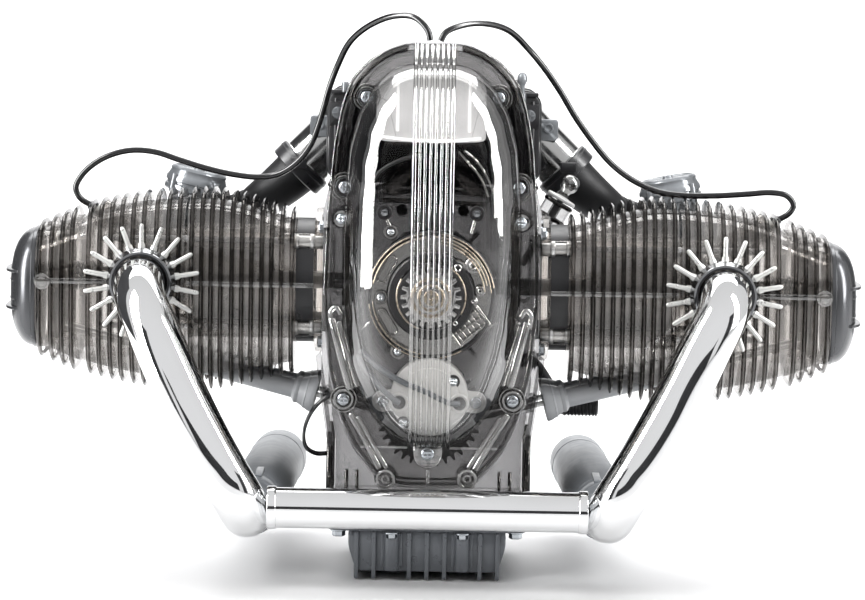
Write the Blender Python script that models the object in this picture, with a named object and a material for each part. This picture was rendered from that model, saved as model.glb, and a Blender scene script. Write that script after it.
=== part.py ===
"""Half-scale four stroke flat twin engine model.

All dimensions below are millimetres and are turned into metres when a piece
is placed.  +X is the right cylinder, -Y the front cover, +Z up.  The origin
is under the middle rib of the oil pan.  For the two cylinders x is the
distance from the crankshaft, y is measured from the cylinder's own axis and
z is the height above the ground.
"""

import math

import bmesh
import bpy
from mathutils import Matrix, Vector

MM = 0.001
GAP = 0.3

# crank train
CRANK_Z = 125.0
THROW = 15.0
CYL_OFFSET = 9.0          # the right cylinder sits forward, the left one back
WEB_R = 24.0
PIN_R = 5.0
JOURNAL_R = 7.0
NOSE_R = 5.0
BORE_R = 22.6
PISTON_R = 22.2
PISTON_X0, PISTON_X1 = 70.0, 104.0
WRIST_X = 83.0

# timing gears, module 1.2
MODULE = 1.2
T_CRANK, T_IDLER, T_CAM = 18, 16, 36
R_CRANK = MODULE * T_CRANK / 2
R_IDLER = MODULE * T_IDLER / 2
R_CAM = MODULE * T_CAM / 2
IDLER_Z = CRANK_Z - R_CRANK - R_IDLER
CAM_Z = IDLER_Z - R_IDLER - R_CAM
GEAR_Y0, GEAR_Y1 = -49.5, -43.5

# crankcase and what closes it
CASE_Y0, CASE_Y1 = -42.0, 60.0
CASE_WALL = 3.0
CASE_TOP = 196.0
PAN_TOP = 24.0
PLATE_Y = -55.0
COVER_Y = PLATE_Y - GAP
FLANGE_T = 3.0
DOME_Y = -94.0

# cylinders and heads
CYL_X0, CYL_X1 = 47.3, 106.6
HEAD_X0, HEAD_X1 = 107.0, 171.5
FIN_T = 1.7
FIN_Z = 120.5
CYL_FINS = (60.6, 65.1, 69.4, 73.6, 78.0, 82.2, 86.5, 91.3, 95.5, 99.7, 104.1)
HEAD_FINS = (109.6, 114.3, 119.4, 124.9, 129.6, 134.6, 139.1, 143.9, 148.6,
             156.0, 160.3, 165.0, 170.2)
FIN_HALF = ((60.6, 36.4), (92.0, 44.5), (120.0, 43.6), (135.0, 41.4),
            (148.0, 38.4), (156.0, 36.0), (170.5, 30.0))
FIN_DEPTH = 33.0
EXHAUST = (125.0, 126.0)
INTAKE = (117.0, 125.0)
PUSH_A = Vector((47.5, 12.0, 75.0))
PUSH_B = Vector((107.0, 9.0, 89.6))
VALVE_A = Vector((112.0, 9.0, CRANK_Z))
VALVE_B = Vector((161.0, 20.0, CRANK_Z))
ROCKER_X, ROCKER_Y = 163.0, 14.0
BOX_X0 = 150.0
BOX_Z0, BOX_Z1 = 98.0, 146.0
PLUG_A = Vector((114.0, 0.0, 133.0))
PLUG_B = Vector((153.0, 0.0, 158.0))

# exhaust
PIPE_R = 11.0
BAR_R = 8.5
MUFFLER_R = 12.8
CABLE_R = 1.35
LEAD_R = 1.2

SIDES = (("L", -1), ("R", 1))


def clear_scene():
    for ob in list(bpy.data.objects):
        bpy.data.objects.remove(ob, do_unlink=True)


def material(name, rgb, rough, metal, alpha=1.0):
    mat = bpy.data.materials.new(name)
    mat.use_nodes = True
    bsdf = mat.node_tree.nodes["Principled BSDF"]
    bsdf.inputs["Base Color"].default_value = (*rgb, 1.0)
    bsdf.inputs["Roughness"].default_value = rough
    bsdf.inputs["Metallic"].default_value = metal
    bsdf.inputs["Alpha"].default_value = alpha
    return mat


PALETTE = {
    "smoked": ((0.34, 0.31, 0.29), 0.15, 0.0, 0.55),
    "clear": ((0.55, 0.53, 0.51), 0.08, 0.0, 0.4),
    "grey": ((0.33, 0.37, 0.41), 0.45, 0.0, 1.0),
    "silver": ((0.72, 0.73, 0.74), 0.35, 0.6, 1.0),
    "chrome": ((0.86, 0.87, 0.88), 0.08, 1.0, 1.0),
    "steel": ((0.62, 0.62, 0.61), 0.25, 1.0, 1.0),
    "aluminium": ((0.78, 0.78, 0.77), 0.35, 1.0, 1.0),
    "brass": ((0.72, 0.53, 0.25), 0.3, 1.0, 1.0),
    "black": ((0.02, 0.02, 0.022), 0.4, 0.0, 1.0),
    "rubber": ((0.015, 0.015, 0.016), 0.6, 0.0, 1.0),
    "white": ((0.78, 0.76, 0.7), 0.4, 0.0, 1.0),
    "ceramic": ((0.9, 0.9, 0.88), 0.2, 0.0, 1.0),
}


def lerp_table(table, x):
    if x <= table[0][0]:
        return table[0][1]
    for (x0, v0), (x1, v1) in zip(table, table[1:]):
        if x <= x1:
            return v0 + (v1 - v0) * (x - x0) / (x1 - x0)
    return table[-1][1]


def blank(bm, name="blank"):
    bmesh.ops.recalc_face_normals(bm, faces=bm.faces[:])
    mesh = bpy.data.meshes.new(name)
    bm.to_mesh(mesh)
    bm.free()
    ob = bpy.data.objects.new(name, mesh)
    bpy.context.scene.collection.objects.link(ob)
    return ob


def frame_of(direction):
    d = Vector(direction).normalized()
    up = Vector((0, 0, 1)) if abs(d.z) < 0.9 else Vector((1, 0, 0))
    u = (up - d * up.dot(d)).normalized()
    return d, u, d.cross(u)


def turned(start, direction, profile, n=24, closed=False, turn=0.0):
    """Profile points (radius, distance along the axis), spun once round."""
    d, u, w = frame_of(direction)
    u = u * math.cos(turn) + w * math.sin(turn)
    start = Vector(start)
    bm = bmesh.new()
    verts = [bm.verts.new(start + d * a + u * r) for r, a in profile]
    edges = [bm.edges.new(p) for p in zip(verts, verts[1:])]
    if closed:
        edges.append(bm.edges.new((verts[-1], verts[0])))
    bmesh.ops.spin(bm, geom=verts + edges, cent=start, axis=d, dvec=(0, 0, 0),
                   angle=math.tau, steps=n, use_merge=True,
                   use_duplicate=False)
    bmesh.ops.remove_doubles(bm, verts=bm.verts[:], dist=1e-4)
    return blank(bm)


def bar(p, q, r, n=16, r2=None, turn=0.0):
    p, q = Vector(p), Vector(q)
    length = (q - p).length
    r2 = r if r2 is None else r2
    return turned(p, q - p, [(0, 0), (r, 0), (r2, length), (0, length)], n,
                  turn=turn)


def pipe(p, q, outer, inner, n=24):
    p, q = Vector(p), Vector(q)
    length = (q - p).length
    return turned(p, q - p, [(inner, 0), (outer, 0), (outer, length),
                             (inner, length)], n, closed=True)


def mitred_pipe(p, q, outer, inner, n):
    """A short tube whose first end is cut along the wall it stands on."""
    d, u, w = frame_of(q - p)
    bm = bmesh.new()
    rings = []
    for r, end in ((outer, p), (outer, q), (inner, q), (inner, p)):
        ring = []
        for k in range(n):
            e = (u * math.cos(math.tau * k / n)
                 + w * math.sin(math.tau * k / n)) * r
            point = end + e
            if end is p:
                point -= d * (e.x / d.x)
            ring.append(bm.verts.new(point))
        rings.append(ring)
    for a, b in zip(rings, rings[1:] + rings[:1]):
        for i in range(n):
            j = (i + 1) % n
            bm.faces.new((a[i], a[j], b[j], b[i]))
    return blank(bm)


def prism(outline, axis, a0, a1):
    """An outline in the plane across the axis, extruded from a0 to a1."""
    bm = bmesh.new()
    put = {"X": lambda u, v: (a0, u, v), "Y": lambda u, v: (u, a0, v),
           "Z": lambda u, v: (u, v, a0)}[axis]
    verts = [bm.verts.new(put(u, v)) for u, v in outline]
    face = bm.faces.new(verts)
    out = bmesh.ops.extrude_face_region(bm, geom=[face])
    move = Vector([a1 - a0 if axis == k else 0.0 for k in "XYZ"])
    bmesh.ops.translate(bm, vec=move, verts=[
        g for g in out["geom"] if isinstance(g, bmesh.types.BMVert)])
    return blank(bm)


def block(x0, x1, y0, y1, z0, z1):
    bm = bmesh.new()
    bmesh.ops.create_cube(bm, size=1.0)
    bmesh.ops.scale(bm, vec=(abs(x1 - x0), abs(y1 - y0), abs(z1 - z0)),
                    verts=bm.verts)
    bmesh.ops.translate(bm, vec=((x0 + x1) / 2, (y0 + y1) / 2, (z0 + z1) / 2),
                        verts=bm.verts)
    return blank(bm)


def loft(rings):
    """Rings of equally many points, joined one to the next, ends capped."""
    bm = bmesh.new()
    loops = [[bm.verts.new(p) for p in ring] for ring in rings]
    for a, b in zip(loops, loops[1:]):
        for i in range(len(a)):
            j = (i + 1) % len(a)
            bm.faces.new((a[i], a[j], b[j], b[i]))
    bm.faces.new(loops[0])
    bm.faces.new(list(reversed(loops[-1])))
    return blank(bm)


def joined(blanks):
    """Several separate bodies as one blank, to save Boolean steps."""
    bm = bmesh.new()
    for ob in blanks:
        bm.from_mesh(ob.data)
        drop(ob)
    mesh = bpy.data.meshes.new("blank")
    bm.to_mesh(mesh)
    bm.free()
    ob = bpy.data.objects.new("blank", mesh)
    bpy.context.scene.collection.objects.link(ob)
    return ob


def drop(ob):
    data = ob.data
    bpy.data.objects.remove(ob, do_unlink=True)
    if isinstance(data, bpy.types.Mesh) and not data.users:
        bpy.data.meshes.remove(data)


def boolean(base, others, operation):
    for tool in others:
        mod = base.modifiers.new("bool", "BOOLEAN")
        mod.solver = "EXACT"
        mod.operation = operation
        mod.object = tool
    bpy.context.view_layer.update()
    graph = bpy.context.evaluated_depsgraph_get()
    mesh = bpy.data.meshes.new_from_object(base.evaluated_get(graph))
    base.modifiers.clear()
    old = base.data
    base.data = mesh
    bpy.data.meshes.remove(old)
    for tool in others:
        drop(tool)
    return base


def add(base, *others):
    return boolean(base, others, "UNION")


def cut(base, *others):
    return boolean(base, others, "DIFFERENCE")


MADE = {}


def place(ob, name, mat, origin=(0, 0, 0), parent=None, smooth=35.0):
    """Turns a blank in millimetres into the finished piece in metres."""
    origin = Vector(origin)
    mesh = ob.data
    bm = bmesh.new()
    bm.from_mesh(mesh)
    bmesh.ops.remove_doubles(bm, verts=bm.verts[:], dist=2e-4)
    bmesh.ops.dissolve_degenerate(bm, edges=bm.edges[:], dist=1e-4)
    bm.to_mesh(mesh)
    bm.free()
    mesh.transform(Matrix.Translation(-origin))
    mesh.transform(Matrix.Scale(MM, 4))
    mesh.materials.clear()
    mesh.materials.append(MATS[mat])
    mesh.shade_smooth()
    mesh.set_sharp_from_angle(angle=math.radians(smooth))
    mesh.name = name
    ob.name = name
    hang(ob, origin, parent)
    MADE[name] = ob
    return ob


def hang(ob, origin, parent):
    base = Vector((0, 0, 0))
    if parent is not None:
        ob.parent = parent
        base = parent.matrix_world.translation.copy()
    ob.location = Vector(origin) * MM - base
    bpy.context.view_layer.update()


def at(s, p):
    """A point given for a cylinder, in the engine's own frame."""
    return Vector((s * p[0], -CYL_OFFSET * s + p[1], p[2]))


def smooth_path(points, step):
    """Even points on the smooth curve through the route's own points."""
    pts = [Vector(p) for p in points]
    ext = [pts[0] * 2 - pts[1]] + pts + [pts[-1] * 2 - pts[-2]]
    dense = []
    for i in range(1, len(ext) - 2):
        p0, p1, p2, p3 = ext[i - 1:i + 3]
        t1 = max((p1 - p0).length ** 0.5, 1e-6)
        t2 = max((p2 - p1).length ** 0.5, 1e-6)
        t3 = max((p3 - p2).length ** 0.5, 1e-6)
        m1 = ((p1 - p0) / t1 - (p2 - p0) / (t1 + t2) + (p2 - p1) / t2) * t2
        m2 = ((p2 - p1) / t2 - (p3 - p1) / (t2 + t3) + (p3 - p2) / t3) * t2
        for k in range(24):
            t = k / 24
            dense.append(p1 * (2 * t ** 3 - 3 * t ** 2 + 1)
                         + m1 * (t ** 3 - 2 * t ** 2 + t)
                         + p2 * (-2 * t ** 3 + 3 * t ** 2)
                         + m2 * (t ** 3 - t ** 2))
    dense.append(pts[-1])
    total = sum((b - a).length for a, b in zip(dense, dense[1:]))
    count = max(2, round(total / step))
    out, want, run = [dense[0]], total / count, 0.0
    for a, b in zip(dense, dense[1:]):
        seg = (b - a).length
        while seg > 0 and run + seg >= want - 1e-9 and len(out) < count:
            f = (want - run) / seg
            out.append(a.lerp(b, f))
            a, seg, run = out[-1], seg * (1 - f), 0.0
        run += seg
    out.append(dense[-1])
    return out


def tube(name, mat, points, radius, step, resolution=2):
    """A round length that follows its route, as a curve with a bevel."""
    curve = bpy.data.curves.new(name, "CURVE")
    curve.dimensions = "3D"
    curve.bevel_depth = radius * MM
    curve.bevel_resolution = resolution
    curve.use_fill_caps = True
    route = smooth_path(points, step)
    spline = curve.splines.new("POLY")
    spline.points.add(len(route) - 1)
    for point, p in zip(spline.points, route):
        point.co = (p.x * MM, p.y * MM, p.z * MM, 1.0)
    curve.materials.append(MATS[mat])
    ob = bpy.data.objects.new(name, curve)
    bpy.context.scene.collection.objects.link(ob)
    MADE[name] = ob
    return ob


# ---------------------------------------------------------------- outlines

FLANGE = ((42.0, 0.0), (42.0, 12.0), (45.0, 20.0), (50.5, 25.5),
          (58.6, 31.7), (72.0, 38.0), (92.0, 43.0), (123.0, 46.0),
          (157.0, 44.8), (173.0, 43.6), (188.0, 42.3), (204.0, 39.5),
          (216.0, 35.5), (224.0, 28.0), (229.0, 19.5), (231.6, 12.0),
          (231.6, 0.0))
DOME = ((61.0, 0.0), (61.0, 8.0), (63.5, 14.0), (68.0, 19.5), (75.0, 25.0),
        (82.0, 28.8), (95.0, 33.5), (110.0, 36.6), (123.0, 38.0),
        (150.0, 38.0), (170.0, 37.2), (188.0, 35.5), (203.0, 31.5),
        (213.0, 26.0), (220.0, 18.5), (223.0, 10.0), (223.0, 0.0))
CASE = ((24.3, 43.0), (60.0, 43.0), (85.0, 46.5), (160.0, 46.5),
        (190.0, 40.0), (CASE_TOP, 37.5))


def closed_outline(table):
    """(z, half width) rows from the bottom up, as a left-right outline."""
    right = [(w, z) for z, w in table]
    left = [(-w, z) for z, w in reversed(table) if w > 0]
    return right + left


def even_outline(table, n):
    """The same outline as n points at even distances round it."""
    pts = closed_outline(table)
    lengths = [math.dist(a, b) for a, b in zip(pts, pts[1:] + pts[:1])]
    total = sum(lengths)
    out = []
    for k in range(n):
        want = total * k / n
        i = 0
        while want > lengths[i]:
            want -= lengths[i]
            i += 1
        a, b = pts[i], pts[(i + 1) % len(pts)]
        f = want / lengths[i]
        out.append((a[0] + (b[0] - a[0]) * f, a[1] + (b[1] - a[1]) * f))
    return out


def scaled(outline, k, cz):
    return [(x * k, cz + (z - cz) * k) for x, z in outline]


def ring_at(outline, y):
    return [(x, y, z) for x, z in outline]


def inset_table(table, d):
    return [(z, w - d) for z, w in table]


# ------------------------------------------------------------------- gears

def gear_outline(teeth, turn, backlash=0.34):
    """Involute flanks at 20 degrees, root to tip; angle 0 is +Z."""
    rp = MODULE * teeth / 2
    rb = rp * math.cos(math.radians(20))
    tip, root = rp + 1.0, rp - 1.5

    def inv(r):
        a = math.acos(min(1.0, rb / r))
        return math.tan(a) - a
    half = math.pi / (2 * teeth) - backlash / (2 * rp)
    flank = [(root, half + inv(rp)), (tip, half + inv(rp) - inv(tip))]
    out = []
    for k in range(teeth):
        mid = turn + math.tau * k / teeth
        for r, a in flank:
            out.append((r, mid - a))
        for r, a in reversed(flank):
            out.append((r, mid + a))
    return [(r * math.sin(a), r * math.cos(a)) for r, a in out]


def gear(teeth, z, turn, bore):
    outline = [(x, z + dz) for x, dz in gear_outline(teeth, turn)]
    body = prism(outline, "Y", GEAR_Y0, GEAR_Y1)
    return cut(body, bar((0, GEAR_Y0 - 2, z), (0, GEAR_Y1 + 2, z), bore, 20))


# ------------------------------------------------------------- fixed parts

def make_crankcase():
    body = prism(closed_outline(CASE), "Y", CASE_Y0, CASE_Y1)
    inner = inset_table(CASE, CASE_WALL)
    inner = [(CASE[0][0] + CASE_WALL, inner[0][1])] + inner[1:-1] + [
        (CASE_TOP - CASE_WALL, inner[-1][1])]
    tools = [prism(closed_outline(inner), "Y", CASE_Y0 + 4, CASE_Y1 - 4),
             block(-30, 30, -34, 52, 20, 32)]
    for _, s in SIDES:
        tools.append(bar(at(s, (38, 0, CRANK_Z)), at(s, (52, 0, CRANK_Z)),
                         23.0, 24))
        for k in (-1, 1):
            tools.append(bar(at(s, line_at(PUSH_A, PUSH_B, 38, k)),
                             at(s, line_at(PUSH_A, PUSH_B, 49, k)), 2.7, 8))
    tools.append(bar((0, -46, CRANK_Z), (0, -36, CRANK_Z), JOURNAL_R + 0.5))
    tools.append(bar((0, 54, CRANK_Z), (0, 64, CRANK_Z), JOURNAL_R + 0.5))
    tools.append(bar((0, -46, CAM_Z), (0, -36, CAM_Z), 4.5, 12))
    tools.append(bar((0, 54, CAM_Z), (0, 64, CAM_Z), 4.5, 12))
    body = add(body, bar((42, 32, 134.2), (56.5, 32, 159.7), 6.5, 12),
               bar((0, -41, IDLER_Z), (0, GEAR_Y0 - 0.5, IDLER_Z), 3.0, 12))
    tools.append(bar((36, 32, 123.6), (60, 32, 165.9), 2.2, 10))
    place(cut(body, *tools), "crankcase", "smoked")


def line_at(a, b, x, mirror=1):
    """The point at distance x on the line a-b, its y mirrored if wanted."""
    p = a.lerp(b, (x - a.x) / (b.x - a.x))
    return Vector((p.x, p.y * mirror, p.z))


def make_top_cover():
    table = ((CASE_TOP + GAP, 37.3), (212.0, 34.0), (221.0, 26.0),
             (226.5, 18.0), (228.5, 11.0))
    inner = [(CASE_TOP - 3, 34.8), (211.0, 31.6), (219.4, 24.0),
             (224.2, 16.5), (226.0, 10.0)]
    body = prism(closed_outline(table), "Y", CASE_Y0, CASE_Y1)
    place(cut(body, prism(closed_outline(inner), "Y", CASE_Y0 + 2.5,
                          CASE_Y1 - 2.5)), "top_cover", "smoked")


def make_oil_pan():
    sill = ((3.0, 31.0), (8.0, 33.4), (18.0, 34.0), (PAN_TOP, 34.0))
    body = prism(closed_outline(sill), "Y", -38, 56)
    ribs = [block(x - 0.9, x + 0.9, -40, 58, 0, 21)
            for x in (-30.4, -22.9, -7.6, 0.0, 7.6, 22.9, 30.4)]
    lobes = [bar((x, -38.6, 4), (x, -38.6, 22), 3.4, 12)
             for x in (-15.2, 15.2)]
    flange = block(-40, 40, -40, 58, 21, PAN_TOP)
    body = add(body, joined(ribs), flange, joined(lobes))
    place(cut(body, block(-29.5, 29.5, -34, 52, 6, 30)), "oil_pan", "grey")


def make_timing_cover():
    body = prism(closed_outline(FLANGE), "Y", PLATE_Y, CASE_Y0 - GAP)
    inner = [(z + (FLANGE_T if i < 2 else 0) - (FLANGE_T if i > 14 else 0),
              max(w - FLANGE_T, 0.0)) for i, (z, w) in enumerate(FLANGE)]
    inner = [r for r in inner if 44 < r[0] < 229]
    tools = [prism(closed_outline(inner), "Y", PLATE_Y + 3, -38),
             bar((0, -60, CRANK_Z), (0, -48, CRANK_Z), NOSE_R + 0.5, 20),
             bar((0, -60, CAM_Z), (0, -48, CAM_Z), 3.5, 12)]
    place(cut(body, *tools), "timing_cover", "smoked")


def make_front_cover():
    n = 32
    flange = even_outline(FLANGE, n)
    dome = even_outline(DOME, n)
    cz = 142.0
    outer = [(1.0, COVER_Y - FLANGE_T), (0.97, -74.0), (0.88, -86.0),
             (0.72, -92.0), (0.5, DOME_Y)]
    wall = 1.6
    rings = [ring_at(scaled(dome, k, cz), y) for k, y in reversed(outer)]
    rings += [ring_at(flange, COVER_Y - FLANGE_T), ring_at(flange, COVER_Y)]
    inner = [(0.957, COVER_Y), (0.93, -73.4), (0.845, -84.8),
             (0.7, -90.4), (0.49, DOME_Y + wall)]
    rings += [ring_at(scaled(dome, k, cz), y) for k, y in inner]
    place(loft(rings), "front_cover", "clear", smooth=40)


def make_alternator():
    y0, y1 = -66.0, -55.3
    body = turned((0, y0, CRANK_Z), (0, 1, 0),
                  [(18, 0), (27, 0), (27, y1 - y0), (18, y1 - y0)], 24,
                  closed=True)
    place(body, "alternator_stator", "brass")


def make_motor():
    y0, y1 = -68.0, -55.3
    z = 82.5
    body = bar((0, y0, z), (0, y1, z), 14.5, 24)
    ears = [bar((x, y0 + 2, z), (x, y0 + 5, z), 5.0, 10) for x in (-19, 19)]
    link = block(-19, 19, y0 + 2, y0 + 5, z - 4, z + 4)
    body = add(body, joined(ears), link)
    place(cut(body, bar((0, y1 + 2, CAM_Z), (0, -61, CAM_Z), 3.5, 12)),
          "drive_motor", "white")


def make_gearbox():
    table = ((60.0, 26.0), (66.0, 34.0), (84.0, 40.0), (140.0, 40.0),
             (158.0, 32.0), (165.0, 22.0))
    outline = even_outline(table, 20)
    cz = 112.0
    outer = [(1.0, 60.3), (1.0, 92.0), (0.86, 112.0), (0.7, 118.0)]
    inner = [(0.65, 115.0), (0.8, 109.5), (0.93, 91.0), (0.93, 60.3)]
    rings = [ring_at(scaled(outline, k, cz), y)
             for k, y in list(reversed(outer))]
    rings += [ring_at(scaled(outline, k, cz), y) for k, y in reversed(inner)]
    place(loft(rings), "gearbox", "smoked", smooth=40)


def make_intake():
    shell = prism(((-44, 165.3), (44, 165.3), (48, 169.3), (48, 203),
                   (44, 207), (-44, 207), (-48, 203), (-48, 169.3)),
                  "Y", 63, 101)
    core = prism(((-41, 168), (41, 168), (45.5, 172), (45.5, 201),
                  (41.5, 204.5), (-41.5, 204.5), (-45.5, 201),
                  (-45.5, 172)), "Y", 65.5, 98.5)
    place(cut(shell, core, bar((-60, 82, 184), (60, 82, 184), 8.5, 20)),
          "air_box", "black")
    for tag, s in SIDES:
        p, q = Vector((s * 48.3, 82, 182.7)), Vector((s * 61.3, 82, 169.7))
        place(mitred_pipe(p, q, 12.0, 10.0, 20), "intake_tube_" + tag,
              "silver")
        d = (q - p).normalized()
        # carburettor: slanted barrel, dashpot with cap, float bowl
        port = at(s, (INTAKE[0], 0, INTAKE[1]))
        rear = Vector((s * 109.2, 88.0, 140.0))
        start = Vector((port.x, port.y + 34.6, port.z))
        elbow = start + Vector((0, 5, 0))
        aim = (rear - elbow).normalized()
        bend = rear + aim * 8 + Vector((-9.0 * s, -1.7, 0))
        hose = [q + d * GAP, q + d * 5, (s * 75, 84.5, 157.6),
                (s * 84.5, 92.0, 151.0)]
        for turn, z in ((135, 147.4), (105, 146.0), (72, 144.8), (40, 143.6)):
            a = math.radians(turn)
            hose.append((bend.x + s * 9.2 * math.cos(a),
                         bend.y + 9.2 * math.sin(a), z))
        hose += [rear + aim * 8, rear + aim * 1.0]
        tube("intake_hose_" + tag, "rubber", hose, 8.0, 4.0, 2)
        barrel = bar(elbow - aim * 1.5, rear, 8.6, 12)
        neck = bar(start, start + Vector((0, 8, 0)), 9.2, 12)
        mid = elbow + aim * ((60 - elbow.y) / aim.y)
        up = Vector((s * 107.5, 60, 162))
        dash = turned(mid, up - mid, [(0, 0), (11, 0), (11, 31), (0, 31)], 14)
        cap = turned(up + (up - mid).normalized() * -2.5, up - mid,
                     [(0, 0), (14, 0), (14, 8.2), (11.5, 10.8),
                      (0, 11.6)], 18)
        bowl = bar(mid, mid - Vector((0, 0, 19)), 9.5, 12)
        place(add(barrel, neck, dash, cap, bowl), "carburettor_" + tag,
              "grey")


def fin_plate(x, s, half, depth, notch=None):
    """One cooling fin: rounded outline, open below for the pushrod tubes."""
    zt, zb = FIN_Z + half, FIN_Z - half
    w = depth
    top = [(-w, FIN_Z + half * 0.62), (-w + 9, zt), (w - 9, zt),
           (w, FIN_Z + half * 0.62)]
    low = [(w, FIN_Z - half * 0.62), (w - 9, zb)]
    mirror = [(-y, z) for y, z in reversed(low)]
    if notch:
        low = low + [(17.0, zb), (17.0, notch)]
        mirror = [(-17.0, notch), (-17.0, zb)] + mirror
    yc = -CYL_OFFSET * s
    outline = [(yc + y, z) for y, z in top + low + mirror]
    return prism(outline, "X", s * (x - FIN_T / 2), s * (x + FIN_T / 2))


def make_cylinder(tag, s):
    c0, c1 = at(s, (CYL_X0, 0, CRANK_Z)), at(s, (CYL_X1, 0, CRANK_Z))
    length = CYL_X1 - CYL_X0
    core = turned(c0, c1 - c0, [(0, 0), (32, 0), (32, 3.7), (26, 3.7),
                                (26, length), (0, length)], 16)
    fins = [fin_plate(x, s, lerp_table(FIN_HALF, x), FIN_DEPTH,
                      line_at(PUSH_A, PUSH_B, x).z + 4.9) for x in CYL_FINS]
    body = add(core, joined(fins))
    d = (c1 - c0).normalized()
    place(cut(body, bar(c0 - d * 5, c1 + d * 5, BORE_R, 24)),
          "cylinder_" + tag, "smoked")


def make_head(tag, s):
    yc = -CYL_OFFSET * s
    x0, x1 = HEAD_X0, HEAD_X1

    def section(w, za, zb, c, xa, xb):
        pts = [(-w, za + c), (-w, zb - c), (-w + c, zb), (w - c, zb),
               (w, zb - c), (w, za + c), (w - c, za), (-w + c, za)]
        return prism([(yc + y, z) for y, z in pts], "X", s * xa, s * xb)
    core = section(29.5, 85.0, 151.0, 9.0, x0, x1 - 22)
    box = section(30.0, 94.5, 149.0, 5.0, x1 - 26, x1)
    fins = [fin_plate(x, s, lerp_table(FIN_HALF, x), FIN_DEPTH)
            for x in HEAD_FINS]
    ex, ez = EXHAUST
    ix, iz = INTAKE
    bosses = [bar(at(s, (ex, -34.0, ez)), at(s, (ex, -20, ez)), 13.0, 16),
              bar(at(s, (ix, 34.2, iz)), at(s, (ix, 20, iz)), 10.5, 14)]
    body = add(core, box, joined(fins), *bosses)
    tools = [bar(at(s, (x0 - 5, 0, CRANK_Z)), at(s, (x0 + 7.5, 0, CRANK_Z)),
                 21.0, 20),
             bar(at(s, (ex, -40, ez)), at(s, (ex, -8, ez)), 9.5, 14),
             bar(at(s, (ix, 40, iz)), at(s, (ix, 8, iz)), 7.0, 12),
             block(s * BOX_X0, s * (x1 + 5), yc - 27, yc + 27, BOX_Z0, BOX_Z1),
             bar(at(s, PLUG_A - (PLUG_B - PLUG_A) * 0.15),
                 at(s, PLUG_B + (PLUG_B - PLUG_A) * 0.25), 5.6, 10)]
    for k in (-1, 1):
        tools.append(bar(at(s, line_at(VALVE_A, VALVE_B, x0 - 4, k)),
                         at(s, line_at(VALVE_A, VALVE_B, BOX_X0 + 3, k)),
                         2.0, 8))
        tools.append(bar(at(s, line_at(PUSH_A, PUSH_B, x0 - 4, k)),
                         at(s, line_at(PUSH_A, PUSH_B, BOX_X0 + 3, k)),
                         2.5, 8))
    place(cut(body, *tools), "head_" + tag, "smoked")


def make_valve_cover(tag, s):
    yc = -CYL_OFFSET * s
    x0 = HEAD_X1 + GAP

    def ring(w, za, zb, c, x):
        pts = [(-w, za + c), (-w, zb - c), (-w + c, zb), (w - c, zb),
               (w, zb - c), (w, za + c), (w - c, za), (-w + c, za)]
        return [(s * x, yc + y, z) for y, z in pts]
    shell = loft([ring(30.0, 93.5, 147.0, 7, x0),
                  ring(30.0, 93.5, 147.0, 7, x0 + 5.2),
                  ring(27.5, 95.5, 145.0, 8, x0 + 10.5),
                  ring(23.5, 99.0, 141.5, 8, x0 + 12.7)])
    ribs = joined([block(s * (x0 + 3), s * 186, yc - 24, yc + 24, z - 1.6,
                         z + 1.6) for z in (111.2, 127.0)])
    hollow = loft([ring(27.0, 98.0, 143.5, 6, x0 - 3),
                   ring(27.0, 98.0, 143.5, 6, x0 + 5),
                   ring(24.0, 100.5, 141.0, 6, x0 + 9.5)])
    place(cut(add(shell, ribs), hollow), "valve_cover_" + tag, "grey")


def make_exhaust(tag, s):
    yc = -CYL_OFFSET * s
    ex, ez = EXHAUST
    y0, y1 = yc - 45.0, yc - 34.3
    points = []
    for k in range(18):
        mid = math.tau * k / 18
        for r, da in ((15.0, -0.115), (25.5, -0.07), (25.5, 0.07),
                      (15.0, 0.115)):
            points.append((s * ex + r * math.sin(mid + da),
                           ez + r * math.cos(mid + da)))
    star = prism(points, "Y", y0, y1)
    place(cut(star, bar((s * ex, y0 - 2, ez), (s * ex, y1 + 2, ez), 11.7, 20)),
          "exhaust_nut_" + tag, "silver")
    start = yc - 34.5
    front = yc - 45.0
    bend = {-1: [(123.6, -53, 121.6), (117, -65, 108.6), (103, -75, 80.6)],
            1: [(122.8, -67, 119.4), (115.8, -72.5, 106), (103, -77, 80.6)]}
    run = [(125, start, ez), (125, start - 7, ez), (125, front - 4.5, ez),
           *bend[s], (86.8, -82, 52.1), (80.4, -81.5, 41.5),
           (77.0, -75.0, 34.4), (76.3, -64, 32.6), (76.0, -51.9, 32.5)]
    tube("header_pipe_" + tag, "chrome", [(s * x, y, z) for x, y, z in run],
         PIPE_R, 9.0, 3)
    p, q = Vector((s * 76.0, -51, 32.5)), Vector((s * 69.0, 115, 33.7))
    length = (q - p).length
    body = turned(p, q - p, [(0, 0), (11.6, 0), (MUFFLER_R, 3.5),
                             (MUFFLER_R, length - 10),
                             (9.6, length - 2.6), (0, length)], 20)
    place(body, "muffler_" + tag, "grey")


def make_cross_pipe():
    place(bar((-65.6, -80.5, 36.5), (65.6, -80.5, 36.5), BAR_R, 20),
          "cross_pipe", "chrome")


def make_pushrod_tubes(tag, s):
    tubes = []
    for k in (-1, 1):
        p = at(s, line_at(PUSH_A, PUSH_B, 49.4, k))
        q = at(s, line_at(PUSH_A, PUSH_B, 105.6, k))
        length = (q - p).length
        tubes.append(turned(p, q - p, [
            (0, 0), (8.2, 0), (5.2, 7.6), (4.0, 9.5), (4.0, length),
            (0, length)], 12))
    yc = -CYL_OFFSET * s
    plate = block(s * 50.8, s * 52.8, yc - 13, yc + 13, 72.6, 79.0)
    holes = [bar(at(s, line_at(PUSH_A, PUSH_B, 45, k)),
                 at(s, line_at(PUSH_A, PUSH_B, 110, k)), 2.5, 8)
             for k in (-1, 1)]
    place(cut(add(joined(tubes), plate), *holes), "pushrod_tubes_" + tag,
          "grey")


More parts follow.
